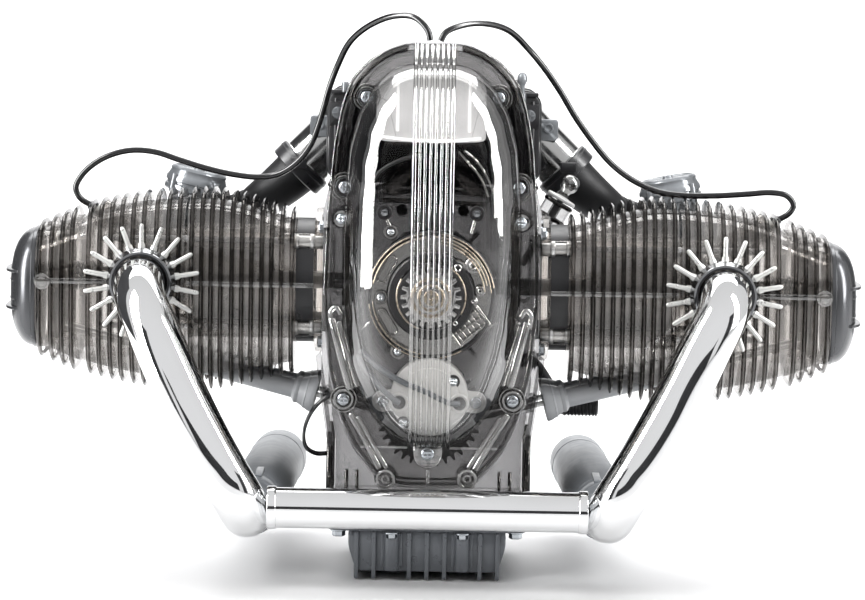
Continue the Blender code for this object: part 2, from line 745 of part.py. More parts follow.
def make_spark_plug(tag, s):
    p, q = at(s, PLUG_A), at(s, PLUG_B)
    d = (q - p).normalized()
    body = turned(p + d * 3.5, d, [
        (0, 0), (1.2, 0), (1.2, 2), (4.6, 2), (5.0, 16), (3.0, 17.5),
        (3.0, 27), (3.6, 36), (2.4, 38.8), (0, 38.8)], 10)
    place(body, "spark_plug_" + tag, "ceramic")


# ------------------------------------------------------------ moving parts

def rod_outline(big=9.5, small=4.5, half=3.4):
    """Side view of a connecting rod: two round ends and a straight shank."""
    a, b = math.asin(half / big), math.asin(half / small)
    out = [(THROW + big * math.cos(t), big * math.sin(t)) for t in
           (a + (math.tau - 2 * a) * k / 15 for k in range(16))]
    out += [(WRIST_X - small * math.cos(t), small * math.sin(t)) for t in
            (math.tau - b - (math.tau - 2 * b) * k / 9 for k in range(10))]
    return out


def make_crank_train():
    cz = CRANK_Z
    front = turned((0, -66, cz), (0, 1, 0),
                   [(0, 0), (14, 0), (14, 9), (NOSE_R, 9), (NOSE_R, 24),
                    (JOURNAL_R, 24), (JOURNAL_R, 46), (WEB_R, 46),
                    (WEB_R, 52), (0, 52)], 24)
    centre = bar((0, -4, cz), (0, 4, cz), WEB_R, 24)
    rear = turned((0, 14, cz), (0, 1, 0),
                  [(0, 0), (WEB_R, 0), (WEB_R, 6), (JOURNAL_R, 6),
                   (JOURNAL_R, 50), (0, 50)], 24)
    pins = [bar((THROW, -15, cz), (THROW, -3, cz), PIN_R, 16),
            bar((-THROW, 3, cz), (-THROW, 15, cz), PIN_R, 16)]
    body = add(front, centre, rear, *pins)
    holes = [bar((x, -6, cz), (x, 6, cz), 1.7, 8)
             for x in (-THROW / 2, THROW / 2)]
    crank = place(cut(body, *holes), "crankshaft", "steel", (0, 0, cz))
    place(gear(T_CRANK, cz, 0.0, NOSE_R + 0.4), "crank_gear", "black",
          (0, (GEAR_Y0 + GEAR_Y1) / 2, cz), crank)
    place(gear(T_IDLER, IDLER_Z, math.pi / T_IDLER, 3.4), "idler_gear",
          "black", (0, (GEAR_Y0 + GEAR_Y1) / 2, IDLER_Z))
    for tag, s in SIDES:
        yc = -CYL_OFFSET * s
        outline = [(s * x, cz + z) for x, z in rod_outline()]
        rod = cut(prism(outline, "Y", yc - 4, yc + 4),
                  bar((s * THROW, yc - 8, cz), (s * THROW, yc + 8, cz), 5.5,
                      16),
                  bar((s * WRIST_X, yc - 8, cz), (s * WRIST_X, yc + 8, cz),
                      2.4, 8))
        place(rod, "rod_" + tag, "aluminium", (s * THROW, yc, cz), crank)
        plug = place(bar((s * THROW / 2, -3.2, cz), (s * THROW / 2, 3.2, cz),
                         1.3, 8), "web_plug_" + tag, "brass",
                     (s * THROW / 2, 0, cz), crank)
        p = at(s, (PISTON_X0, 0, cz))
        body = turned(p, (s, 0, 0), [
            (0, 30.5), (20.4, 30.5), (20.4, 0), (PISTON_R, 0),
            (PISTON_R, 26), (21.4, 26), (21.4, 28.5), (PISTON_R, 28.5),
            (PISTON_R, PISTON_X1 - PISTON_X0), (0, PISTON_X1 - PISTON_X0)],
            24)
        stubs = joined([bar(at(s, (WRIST_X, k * 6, cz)),
                            at(s, (WRIST_X, k * 21, cz)), 3.4, 8)
                        for k in (-1, 1)])
        place(add(body, stubs), "piston_" + tag, "aluminium",
              (s * THROW, 0, cz), plug)


def lobe(y, turn):
    outline = []
    for k in range(12):
        a = math.tau * k / 12
        r = 5.5 + 3.0 * max(0.0, math.cos(a)) ** 3
        outline.append((r * math.sin(a + turn), CAM_Z + r * math.cos(a + turn)))
    return prism(outline, "Y", y - 3, y + 3)


def make_camshaft():
    shaft = turned((0, -60, CAM_Z), (0, 1, 0),
                   [(0, 0), (3, 0), (3, 10), (4, 10), (4, 118.5), (0, 118.5)],
                   12)
    lobes = joined([lobe(4.6, 0.4), lobe(-22.6, -1.2), lobe(22.6, 3.5),
                    lobe(-4.6, 2.0)])
    cam = place(add(shaft, lobes), "camshaft", "steel", (0, 0, CAM_Z))
    place(gear(T_CAM, CAM_Z, 0.0, 4.4), "cam_gear", "black",
          (0, (GEAR_Y0 + GEAR_Y1) / 2, CAM_Z), cam)


def make_valve_train():
    for tag, s in SIDES:
        for word, k in (("intake", 1), ("exhaust", -1)):
            end = word + "_" + tag
            a = at(s, line_at(VALVE_A, VALVE_B, VALVE_A.x, k))
            b = at(s, line_at(VALVE_A, VALVE_B, VALVE_B.x, k))
            n = (b - a).length
            valve = turned(a, b - a, [
                (0, -2), (7.5, -2), (7.5, -0.6), (1.2, 2.4),
                (1.2, n - 2.2), (3.2, n - 2.2), (3.2, n - 0.9),
                (1.2, n), (0, n)], 10)
            place(valve, "valve_" + end, "steel", a)
            a = at(s, line_at(PUSH_A, PUSH_B, 12.0, k))
            b = at(s, line_at(PUSH_A, PUSH_B, 161.0, k))
            n = (b - a).length
            push = turned(a, b - a, [(0, 0), (3, 0), (3, 8), (1.2, 8.8),
                                     (1.2, n), (0, n)], 8)
            place(push, "pushrod_" + end, "aluminium", a)
            yc = -CYL_OFFSET * s
            x, y = s * ROCKER_X, yc + k * ROCKER_Y
            spindle = bar((x, y, BOX_Z0 + 0.4), (x, y, BOX_Z1 - 0.4), 2.2, 8)
            arm = block(s * 161.8, s * 165.6, y - k * 1.0, yc + k * 22.4,
                        121.5, 128.5)
            foot = block(s * 161.8, s * 165.6, y + k * 1.0, yc + k * 4.8,
                         99.6, 105.8)
            place(add(spindle, arm, foot), "rocker_" + end, "aluminium",
                  (x, y, CRANK_Z))


def make_dipstick():
    top = Vector((56.5, 32.0, 159.7))
    aim = (top - Vector((42.0, 32.0, 134.2))).normalized()
    body = turned(top - aim * 33, aim, [
        (0, 0), (1.6, 0), (1.6, 33.5), (6.8, 33.5), (6.8, 35.3), (3.0, 36),
        (3.0, 39), (5.3, 41), (5.3, 46), (4.2, 47.5), (0, 47.5)], 12)
    place(body, "dipstick", "white", top)


def make_gear_lever():
    peg = turned((58, 60, 65), (1, 0, 0),
                 [(0, 0), (4.0, 0), (4.0, 2.7), (4.6, 3.0), (4.6, 18.4),
                  (3.8, 18.9), (0, 18.9)], 12)
    arm = bar((45.5, 76, 84), (60, 61, 65.8), 2.7, 8)
    shaft = bar((40.7, 76, 84), (47.5, 76, 84), 3.2, 8)
    place(add(peg, arm, shaft), "gear_lever", "black", (44, 76, 84))


# ------------------------------------------------------------------ cables

CABLE_L = ((-2.2, -48.7, 232.4), (-3.2, -48.4, 236.4), (-8.9, -44.9, 242.0),
           (-17.5, -39.1, 242.4), (-28.2, -29.3, 238.1), (-36.9, -19.7, 230.5),
           (-42.1, -12.6, 220.3), (-45.5, -10.0, 211.0), (-47.5, -9.8, 203.6),
           (-50.5, -8.6, 193.1), (-53.9, -7.2, 184.7), (-59.9, -5.1, 177.1),
           (-68.0, -2.6, 171.8), (-76.6, -0.7, 170.4), (-88.1, 2.2, 171.3),
           (-99.7, 5.0, 173.6), (-111.3, 7.2, 176.8), (-122.0, 8.6, 180.0),
           (-131.7, 9.0, 180.7), (-139.6, 9.0, 179.2), (-147.4, 9.0, 175.6),
           (-154.0, 9.0, 169.9), (-157.1, 9.0, 163.8), (-155.2, 9.0, 159.3),
           (-149.9, 9.0, 156.0))
CABLE_R_PTS = ((2.2, -48.7, 232.4), (4.2, -47.9, 236.0), (12.5, -42.2, 239.3),
               (22.0, -34.0, 239.6), (31.5, -24.5, 236.6),
               (40.9, -13.6, 227.9), (47.6, -10.0, 220.0),
               (54.3, -10.0, 210.6), (61.5, -9.8, 199.0), (69.1, -9.7, 188.7),
               (76.3, -9.5, 180.3), (83.8, -9.3, 174.2), (90.4, -9.2, 170.5),
               (98.3, -9.1, 167.4), (108.4, -9.0, 166.1), (122.8, -9.0, 166.2),
               (136.8, -9.0, 167.2), (147.3, -9.0, 168.0),
               (154.0, -9.0, 166.7), (157.0, -9.0, 162.6),
               (154.9, -9.0, 158.9), (149.9, -9.0, 156.0))
LEAD = ((-40.95, -49.0, 81.0), (-45.0, -49.4, 79.2), (-50.3, -48.9, 73.2),
        (-53.3, -47.0, 65.0), (-52.6, -43.0, 57.6), (-48.4, -38.6, 54.2),
        (-43.4, -36.5, 54.0))


def make_cables():
    tube("ignition_cable_L", "rubber", CABLE_L, CABLE_R, 7.4)
    tube("ignition_cable_R", "rubber", CABLE_R_PTS, CABLE_R, 7.4)
    tube("motor_cable", "rubber", LEAD, LEAD_R, 4.0)


clear_scene()
MATS = {key: material(key, *value) for key, value in PALETTE.items()}

make_crankcase()
make_top_cover()
make_oil_pan()
make_timing_cover()
make_front_cover()
make_alternator()
make_motor()
make_gearbox()
make_intake()
make_cross_pipe()
for side_tag, side in SIDES:
    make_cylinder(side_tag, side)
    make_head(side_tag, side)
    make_valve_cover(side_tag, side)
    make_exhaust(side_tag, side)
    make_pushrod_tubes(side_tag, side)
    make_spark_plug(side_tag, side)
make_crank_train()
make_camshaft()
make_valve_train()
make_dipstick()
make_gear_lever()
make_cables()
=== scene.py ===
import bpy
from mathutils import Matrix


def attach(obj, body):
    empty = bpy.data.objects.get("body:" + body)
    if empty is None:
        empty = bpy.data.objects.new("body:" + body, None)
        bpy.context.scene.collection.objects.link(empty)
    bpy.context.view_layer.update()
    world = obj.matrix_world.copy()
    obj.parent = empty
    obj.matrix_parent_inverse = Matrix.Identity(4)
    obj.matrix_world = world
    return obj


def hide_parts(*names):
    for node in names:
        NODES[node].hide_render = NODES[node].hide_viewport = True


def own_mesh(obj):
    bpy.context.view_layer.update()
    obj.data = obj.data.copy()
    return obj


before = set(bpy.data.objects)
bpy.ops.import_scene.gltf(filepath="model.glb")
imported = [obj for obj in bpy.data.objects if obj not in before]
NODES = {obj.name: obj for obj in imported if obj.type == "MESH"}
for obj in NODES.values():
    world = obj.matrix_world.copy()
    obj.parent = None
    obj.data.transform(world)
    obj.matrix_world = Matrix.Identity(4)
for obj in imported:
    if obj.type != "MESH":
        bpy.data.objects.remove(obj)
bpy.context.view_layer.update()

# Finish, fine shapes, cords, light and camera of the flat twin engine model.

import math

import bmesh
import bpy
from mathutils import Matrix, Vector

MM = 0.001
SIDES = (("L", -1), ("R", 1))

# the engine's own dimensions, in millimetres
CRANK_Z = 125.0
CYL_OFFSET = 9.0
IDLER_Z = 104.6
CAM_Z = 73.4
FIN_Z = 120.5
FIN_DEPTH = 33.0
CYL_FINS = (60.6, 65.1, 69.4, 73.6, 78.0, 82.2, 86.5, 91.3, 95.5, 99.7, 104.1)
HEAD_FINS = (109.6, 114.3, 119.4, 124.9, 129.6, 134.6, 139.1, 143.9, 148.6,
             156.0, 160.3, 165.0, 170.2)
FIN_HALF = ((60.6, 36.4), (92.0, 44.5), (120.0, 43.6), (135.0, 41.4),
            (148.0, 38.4), (156.0, 36.0), (170.5, 30.0))
EXHAUST = (125.0, 126.0)
PUSH_A = Vector((47.5, 12.0, 75.0))
PUSH_B = Vector((107.0, 9.0, 89.6))
VALVE_A = Vector((112.0, 9.0, CRANK_Z))
VALVE_B = Vector((161.0, 20.0, CRANK_Z))
PLUG_A = Vector((114.0, 0.0, 133.0))
PLUG_B = Vector((153.0, 0.0, 158.0))


# ------------------------------------------------------------------ helpers

def at(s, p):
    return Vector((s * p[0], -CYL_OFFSET * s + p[1], p[2]))


def line_at(a, b, x, mirror=1):
    p = a.lerp(b, (x - a.x) / (b.x - a.x))
    return Vector((p.x, p.y * mirror, p.z))


def lerp_table(table, x):
    if x <= table[0][0]:
        return table[0][1]
    for (x0, v0), (x1, v1) in zip(table, table[1:]):
        if x <= x1:
            return v0 + (v1 - v0) * (x - x0) / (x1 - x0)
    return table[-1][1]


def smooth_table(table, x):
    """The same table through a smooth curve."""
    xs = [t[0] for t in table]
    if x <= xs[0]:
        return table[0][1]
    if x >= xs[-1]:
        return table[-1][1]
    i = max(k for k in range(len(xs)) if xs[k] <= x)
    p1, p2 = table[i], table[i + 1]
    p0 = table[i - 1] if i else (2 * p1[0] - p2[0], 2 * p1[1] - p2[1])
    p3 = table[i + 2] if i + 2 < len(table) else (2 * p2[0] - p1[0],
                                                  2 * p2[1] - p1[1])
    h = p2[0] - p1[0]
    m1 = (p2[1] - p0[1]) / (p2[0] - p0[0]) * h
    m2 = (p3[1] - p1[1]) / (p3[0] - p1[0]) * h
    t = (x - p1[0]) / h
    return (p1[1] * (2 * t ** 3 - 3 * t ** 2 + 1) + m1 * (t ** 3 - 2 * t ** 2 + t)
            + p2[1] * (-2 * t ** 3 + 3 * t ** 2) + m2 * (t ** 3 - t ** 2))


def frame_of(direction):
    d = Vector(direction).normalized()
    up = Vector((0, 0, 1)) if abs(d.z) < 0.9 else Vector((1, 0, 0))
    u = (up - d * up.dot(d)).normalized()
    return d, u, d.cross(u)


class Build:
    """Collects solids in millimetres and becomes one mesh in metres."""

    def __init__(self):
        self.bm = bmesh.new()

    def loft(self, rings, cap=True, cyclic=False, mat=0):
        bm = self.bm
        loops = [[bm.verts.new(p) for p in ring] for ring in rings]
        faces = []
        pairs = list(zip(loops, loops[1:]))
        if cyclic:
            pairs.append((loops[-1], loops[0]))
        for a, b in pairs:
            for i in range(len(a)):
                j = (i + 1) % len(a)
                faces.append(bm.faces.new((a[i], a[j], b[j], b[i])))
        if cap and not cyclic:
            faces.append(bm.faces.new(list(reversed(loops[0]))))
            faces.append(bm.faces.new(loops[-1]))
        for f in faces:
            f.material_index = mat
        bmesh.ops.recalc_face_normals(bm, faces=faces)
        return faces

    def turned(self, start, direction, profile, n=32, cyclic=False, mat=0,
               squeeze=1.0):
        """Profile points (radius, distance) round an axis."""
        d, u, w = frame_of(direction)
        start = Vector(start)
        rings = []
        for r, a in profile:
            r = max(r, 0.01)
            rings.append([start + d * a + (u * math.cos(t) * squeeze
                                           + w * math.sin(t)) * r
                          for t in (math.tau * k / n for k in range(n))])
        return self.loft(rings, cap=True, cyclic=cyclic, mat=mat)

    def bar(self, p, q, r, n=24, bevel=0.0, r2=None, mat=0):
        p, q = Vector(p), Vector(q)
        length = (q - p).length
        r2 = r if r2 is None else r2
        b = min(bevel, length * 0.45, r * 0.6)
        if b > 0:
            prof = [(r - b, 0), (r - b * 0.3, b * 0.3), (r, b),
                    (r2, length - b), (r2 - b * 0.3, length - b * 0.3),
                    (r2 - b, length)]
        else:
            prof = [(r, 0), (r2, length)]
        return self.turned(p, q - p, prof, n, mat=mat)

    def prism(self, outline, axis, a0, a1, bevel=0.0, mat=0):
        """An outline across the axis, with softened rims if wanted."""
        put = {"X": lambda a, u, v: (a, u, v), "Y": lambda a, u, v: (u, a, v),
               "Z": lambda a, u, v: (u, v, a)}[axis]
        if bevel <= 0:
            rings = [[put(a, u, v) for u, v in outline] for a in (a0, a1)]
        else:
            sgn = 1 if a1 > a0 else -1
            small = inset(outline, bevel)
            mid = inset(outline, bevel * 0.3)
            rings = [[put(a0, u, v) for u, v in small],
                     [put(a0 + sgn * bevel * 0.3, u, v) for u, v in mid],
                     [put(a0 + sgn * bevel, u, v) for u, v in outline],
                     [put(a1 - sgn * bevel, u, v) for u, v in outline],
                     [put(a1 - sgn * bevel * 0.3, u, v) for u, v in mid],
                     [put(a1, u, v) for u, v in small]]
        return self.loft(rings, mat=mat)

    def block(self, x0, x1, y0, y1, z0, z1, bevel=0.6, mat=0):
        pts = [(x0, z0), (x1, z0), (x1, z1), (x0, z1)]
        c = min(bevel, abs(x1 - x0) * 0.45, abs(z1 - z0) * 0.45)
        out = round_corners(pts, c, 3)
        return self.prism(out, "Y", y0, y1, min(bevel, abs(y1 - y0) * 0.45) * 0.8,
                          mat=mat)

    def tube(self, path, radius, n=20, mat=0, closed=False, cap=True,
             taper=None):
        """A round section swept along points, without twist."""
        pts = [Vector(p) for p in path]
        rings = []
        u = None
        last = len(pts) - 1
        for i, p in enumerate(pts):
            if closed:
                d = (pts[(i + 1) % len(pts)] - pts[i - 1]).normalized()
            else:
                d = (pts[min(i + 1, last)] - pts[max(i - 1, 0)]).normalized()
            if u is None:
                _, u, _ = frame_of(d)
            u = (u - d * u.dot(d)).normalized()
            w = d.cross(u)
            r = radius if taper is None else radius * taper(i / max(last, 1))
            rings.append([p + (u * math.cos(t) + w * math.sin(t)) * r
                          for t in (math.tau * k / n for k in range(n))])
        return self.loft(rings, cap=cap and not closed, cyclic=closed, mat=mat)

    def ring(self, centre, direction, outer, inner, a0, a1, n=48, bevel=0.0,
             mat=0):
        """A flat washer-like ring from a0 to a1 along the axis."""
        b = min(bevel, (outer - inner) * 0.4, abs(a1 - a0) * 0.4)
        if b > 0:
            prof = [(inner + b, a0), (outer - b, a0), (outer, a0 + b),
                    (outer, a1 - b), (outer - b, a1), (inner + b, a1),
                    (inner, a1 - b), (inner, a0 + b)]
        else:
            prof = [(inner, a0), (outer, a0), (outer, a1), (inner, a1)]
        return self.turned(centre, direction, prof, n, cyclic=True, mat=mat)

    def done(self, name, mats, body="engine", smooth=40.0,
             replaces=()):
        bm = self.bm
        bmesh.ops.scale(bm, vec=(MM, MM, MM), verts=bm.verts[:])
        mesh = bpy.data.meshes.new(name)
        bm.to_mesh(mesh)
        bm.free()
        for m in (mats if isinstance(mats, (list, tuple)) else [mats]):
            mesh.materials.append(m)
        mesh.shade_smooth()
        mesh.set_sharp_from_angle(angle=math.radians(smooth))
        ob = bpy.data.objects.new(name, mesh)
        bpy.context.scene.collection.objects.link(ob)
        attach(ob, body)
        if replaces:
            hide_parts(*replaces)
        return ob


def inset(outline, d):
    """Moves a closed outline inwards by d along its corner bisectors."""
    n = len(outline)
    area = sum(outline[i][0] * outline[(i + 1) % n][1]
               - outline[(i + 1) % n][0] * outline[i][1] for i in range(n))
    sign = 1 if area > 0 else -1
    out = []
    for i in range(n):
        a, b, c = (Vector(outline[i - 1]), Vector(outline[i]),
                   Vector(outline[(i + 1) % n]))
        e1, e2 = (b - a), (c - b)
        if e1.length < 1e-9 or e2.length < 1e-9:
            out.append(tuple(b))
            continue
        e1.normalize()
        e2.normalize()
        n1 = Vector((-e1.y, e1.x)) * sign
        n2 = Vector((-e2.y, e2.x)) * sign
        m = n1 + n2
        if m.length < 1e-6:
            m = n1
        m = m / max(m.dot(n1), 0.35)
        out.append(tuple(b + m * d))
    return out


def round_corners(pts, r, steps=4):
    """Replaces each corner of a polygon by a short arc."""
    out = []
    n = len(pts)
    for i in range(n):
        a, b, c = Vector(pts[i - 1]), Vector(pts[i]), Vector(pts[(i + 1) % n])
        u, w = (a - b), (c - b)
        k = min(r, u.length * 0.48, w.length * 0.48)
        p, q = b + u.normalized() * k, b + w.normalized() * k
        for j in range(steps + 1):
            t = j / steps
            out.append(tuple(p * (1 - t) ** 2 + b * 2 * t * (1 - t)
                             + q * t ** 2))
    return out


def resample(pts, n):
    """A closed outline as n points at even distances."""
    lengths = [math.dist(a, b) for a, b in zip(pts, pts[1:] + pts[:1])]
    total = sum(lengths)
    out, i, used = [], 0, 0.0
    for k in range(n):
        want = total * k / n
        while i < len(pts) - 1 and used + lengths[i] < want:
            used += lengths[i]
            i += 1
        f = (want - used) / max(lengths[i], 1e-9)
        a, b = pts[i], pts[(i + 1) % len(pts)]
        out.append((a[0] + (b[0] - a[0]) * f, a[1] + (b[1] - a[1]) * f))
    return out


def mirrored(table, smooth=True, step=3.0):
    """(z, half width) rows, bottom to top, as a closed smooth outline."""
    zs = [t[0] for t in table]
    rows = []
    for (z0, w0), (z1, w1) in zip(table, table[1:]):
        k = max(1, round(math.dist((z0, w0), (z1, w1)) / step))
        for j in range(k):
            rows.append((z0 + (z1 - z0) * j / k, w0 + (w1 - w0) * j / k))
    rows.append(table[-1])
    right = [(w, z) for z, w in rows]
    left = [(-w, z) for z, w in reversed(rows) if w > 1e-6]
    pts = right + left
    if smooth:
        for _ in range(3):
            n = len(pts)
            pts = [((pts[i - 1][0] + 2 * pts[i][0] + pts[(i + 1) % n][0]) / 4,
                    (pts[i - 1][1] + 2 * pts[i][1] + pts[(i + 1) % n][1]) / 4)
                   for i in range(n)]
    return pts


def smooth_path(points, step):
    pts = [Vector(p) for p in points]
    ext = [pts[0] * 2 - pts[1]] + pts + [pts[-1] * 2 - pts[-2]]
    dense = []
    for i in range(1, len(ext) - 2):
        p0, p1, p2, p3 = ext[i - 1:i + 3]
        t1 = max((p1 - p0).length ** 0.5, 1e-6)
        t2 = max((p2 - p1).length ** 0.5, 1e-6)
        t3 = max((p3 - p2).length ** 0.5, 1e-6)
        m1 = ((p1 - p0) / t1 - (p2 - p0) / (t1 + t2) + (p2 - p1) / t2) * t2
        m2 = ((p2 - p1) / t2 - (p3 - p1) / (t2 + t3) + (p3 - p2) / t3) * t2
        for k in range(24):
            t = k / 24
            dense.append(p1 * (2 * t ** 3 - 3 * t ** 2 + 1)
                         + m1 * (t ** 3 - 2 * t ** 2 + t)
                         + p2 * (-2 * t ** 3 + 3 * t ** 2)
                         + m2 * (t ** 3 - t ** 2))
    dense.append(pts[-1])
    total = sum((b - a).length for a, b in zip(dense, dense[1:]))
    count = max(2, round(total / step))
    out, want, run = [dense[0]], total / count, 0.0
    for a, b in zip(dense, dense[1:]):
        seg = (b - a).length
        while seg > 0 and run + seg >= want - 1e-9 and len(out) < count:
            f = (want - run) / seg
            out.append(a.lerp(b, f))
            a, seg, run = out[-1], seg * (1 - f), 0.0
        run += seg
    out.append(dense[-1])
    return out


# ---------------------------------------------------------------- materials

def _nodes(name):
    mat = bpy.data.materials.new(name)
    mat.use_nodes = True
    nt = mat.node_tree
    bsdf = nt.nodes["Principled BSDF"]
    return mat, nt, bsdf, nt.nodes["Material Output"]


def _link(nt, a, b):
    nt.links.new(a, b)


def _noise(nt, scale, detail=4.0, rough=0.55, stretch=None):
    coord = nt.nodes.new("ShaderNodeTexCoord")
    source = coord.outputs["Object"]
    if stretch:
        mapping = nt.nodes.new("ShaderNodeMapping")
        mapping.inputs["Scale"].default_value = stretch
        _link(nt, source, mapping.inputs["Vector"])
        source = mapping.outputs["Vector"]
    noise = nt.nodes.new("ShaderNodeTexNoise")
    noise.inputs["Scale"].default_value = scale
    noise.inputs["Detail"].default_value = detail
    noise.inputs["Roughness"].default_value = rough
    _link(nt, source, noise.inputs["Vector"])
    return noise.outputs["Fac"]


def _ramp(nt, fac, stops):
    ramp = nt.nodes.new("ShaderNodeValToRGB")
    els = ramp.color_ramp.elements
    els[0].position, els[0].color = stops[0][0], (*stops[0][1], 1)
    els[1].position, els[1].color = stops[-1][0], (*stops[-1][1], 1)
    for pos, col in stops[1:-1]:
        e = els.new(pos)
        e.color = (*col, 1)
    _link(nt, fac, ramp.inputs["Fac"])
    return ramp.outputs["Color"]


def _map(nt, fac, lo, hi, a=0.3, b=0.7):
    m = nt.nodes.new("ShaderNodeMapRange")
    m.inputs["From Min"].default_value = a
    m.inputs["From Max"].default_value = b
    m.inputs["To Min"].default_value = lo
    m.inputs["To Max"].default_value = hi
    _link(nt, fac, m.inputs["Value"])
    return m.outputs["Result"]


def _bump(nt, height, strength, distance, normal=None):
    b = nt.nodes.new("ShaderNodeBump")
    b.inputs["Strength"].default_value = strength
    b.inputs["Distance"].default_value = distance
    _link(nt, height, b.inputs["Height"])
    if normal is not None:
        _link(nt, normal, b.inputs["Normal"])
    return b.outputs["Normal"]


def _scaled(c, k):
    return tuple(min(1.0, v * k) for v in c)


def solid(name, color, rough, metal=0.0, vary=0.12, grain=180.0, bump=0.15,
          wear=0.0, rough_vary=0.08, stretch=None, spec=None, coat=0.0,
          big=25.0, painted_glow=0.0):
    """Opaque finish: cloudy colour, grain, uneven gloss and worn edges, and an optional
    glow that is painted light, as the surface is no lamp.
    """
    mat, nt, bsdf, _ = _nodes(name)
    clouds = _noise(nt, big, 3.0, 0.6)
    fine = _noise(nt, grain, 5.0, 0.6, stretch)
    col = _ramp(nt, clouds, [(0.3, _scaled(color, 1 - vary)), (0.5, color),
                             (0.72, _scaled(color, 1 + vary))])
    if wear > 0:
        geo = nt.nodes.new("ShaderNodeNewGeometry")
        edge = _map(nt, geo.outputs["Pointiness"], 0.0, wear, 0.52, 0.62)
        mix = nt.nodes.new("ShaderNodeMix")
        mix.data_type = "RGBA"
        _link(nt, edge, mix.inputs["Factor"])
        _link(nt, col, mix.inputs["A"])
        mix.inputs["B"].default_value = (*_scaled(color, 1.6), 1)
        col = mix.outputs["Result"]
    _link(nt, col, bsdf.inputs["Base Color"])
    _link(nt, _map(nt, fine, max(rough - rough_vary, 0.02),
                   min(rough + rough_vary, 1.0)), bsdf.inputs["Roughness"])
    if bump > 0:
        _link(nt, _bump(nt, fine, bump, 0.0002), bsdf.inputs["Normal"])
    bsdf.inputs["Metallic"].default_value = metal
    if spec is not None:
        bsdf.inputs["Specular IOR Level"].default_value = spec
    # painted light: the optional glow makes the surface give off light though it is no
    # lamp
    if painted_glow:
        _link(nt, _ramp(nt, clouds, [(0.35, _scaled(color, 0.8)),
                                     (0.65, color)]),
              bsdf.inputs["Emission Color"])
        bsdf.inputs["Emission Strength"].default_value = painted_glow
    if coat:
        bsdf.inputs["Coat Weight"].default_value = coat
        bsdf.inputs["Coat Roughness"].default_value = 0.08
    return mat


def clear(name, tint, body=0.10, edge=0.75, rough=0.03, flow=0.05,
          face=(0.5, 0.48, 0.46), rim=(0.10, 0.09, 0.085), blend=0.4,
          start=0.22, metal=1.0):
    """See-through moulded plastic: a tinted film under a glossy face that
    gets stronger towards grazing views, with flow marks, and painted shade:
    its colour goes darker towards grazing views."""
    mat, nt, bsdf, out = _nodes(name)
    film = nt.nodes.new("ShaderNodeBsdfTransparent")
    clouds = _noise(nt, 28.0, 3.0, 0.6)
    streak = _noise(nt, 90.0, 4.0, 0.6, (1.0, 1.0, 0.15))
    _link(nt, _ramp(nt, clouds, [(0.3, _scaled(tint, 1 - flow)), (0.5, tint),
                                 (0.7, _scaled(tint, 1 + flow))]),
          film.inputs["Color"])
    # painted shade: the face colour is darkened to the rim colour towards grazing views
    facing = nt.nodes.new("ShaderNodeLayerWeight")
    facing.inputs["Blend"].default_value = blend
    painted_edge_shade = _ramp(nt, facing.outputs["Facing"],
                 [(0.05, face), (0.45, _scaled(face, 0.6)), (0.85, rim)])
    mottle = nt.nodes.new("ShaderNodeMix")
    mottle.data_type = "RGBA"
    mottle.blend_type = "MULTIPLY"
    mottle.inputs["Factor"].default_value = 1.0
    _link(nt, painted_edge_shade, mottle.inputs["A"])
    _link(nt, _ramp(nt, streak, [(0.3, (0.86, 0.86, 0.86)),
                                 (0.7, (1.0, 1.0, 1.0))]), mottle.inputs["B"])
    _link(nt, mottle.outputs["Result"], bsdf.inputs["Base Color"])
    bsdf.inputs["Metallic"].default_value = metal
    _link(nt, _map(nt, streak, max(rough - 0.02, 0.01), rough + 0.05),
          bsdf.inputs["Roughness"])
    _link(nt, _bump(nt, streak, 0.02, 0.0003), bsdf.inputs["Normal"])
    fac = _map(nt, facing.outputs["Facing"], body, edge, start, 0.95)
    mix = nt.nodes.new("ShaderNodeMixShader")
    _link(nt, fac, mix.inputs[0])
    _link(nt, film.outputs[0], mix.inputs[1])
    _link(nt, bsdf.outputs[0], mix.inputs[2])
    _link(nt, mix.outputs[0], out.inputs["Surface"])
    return mat


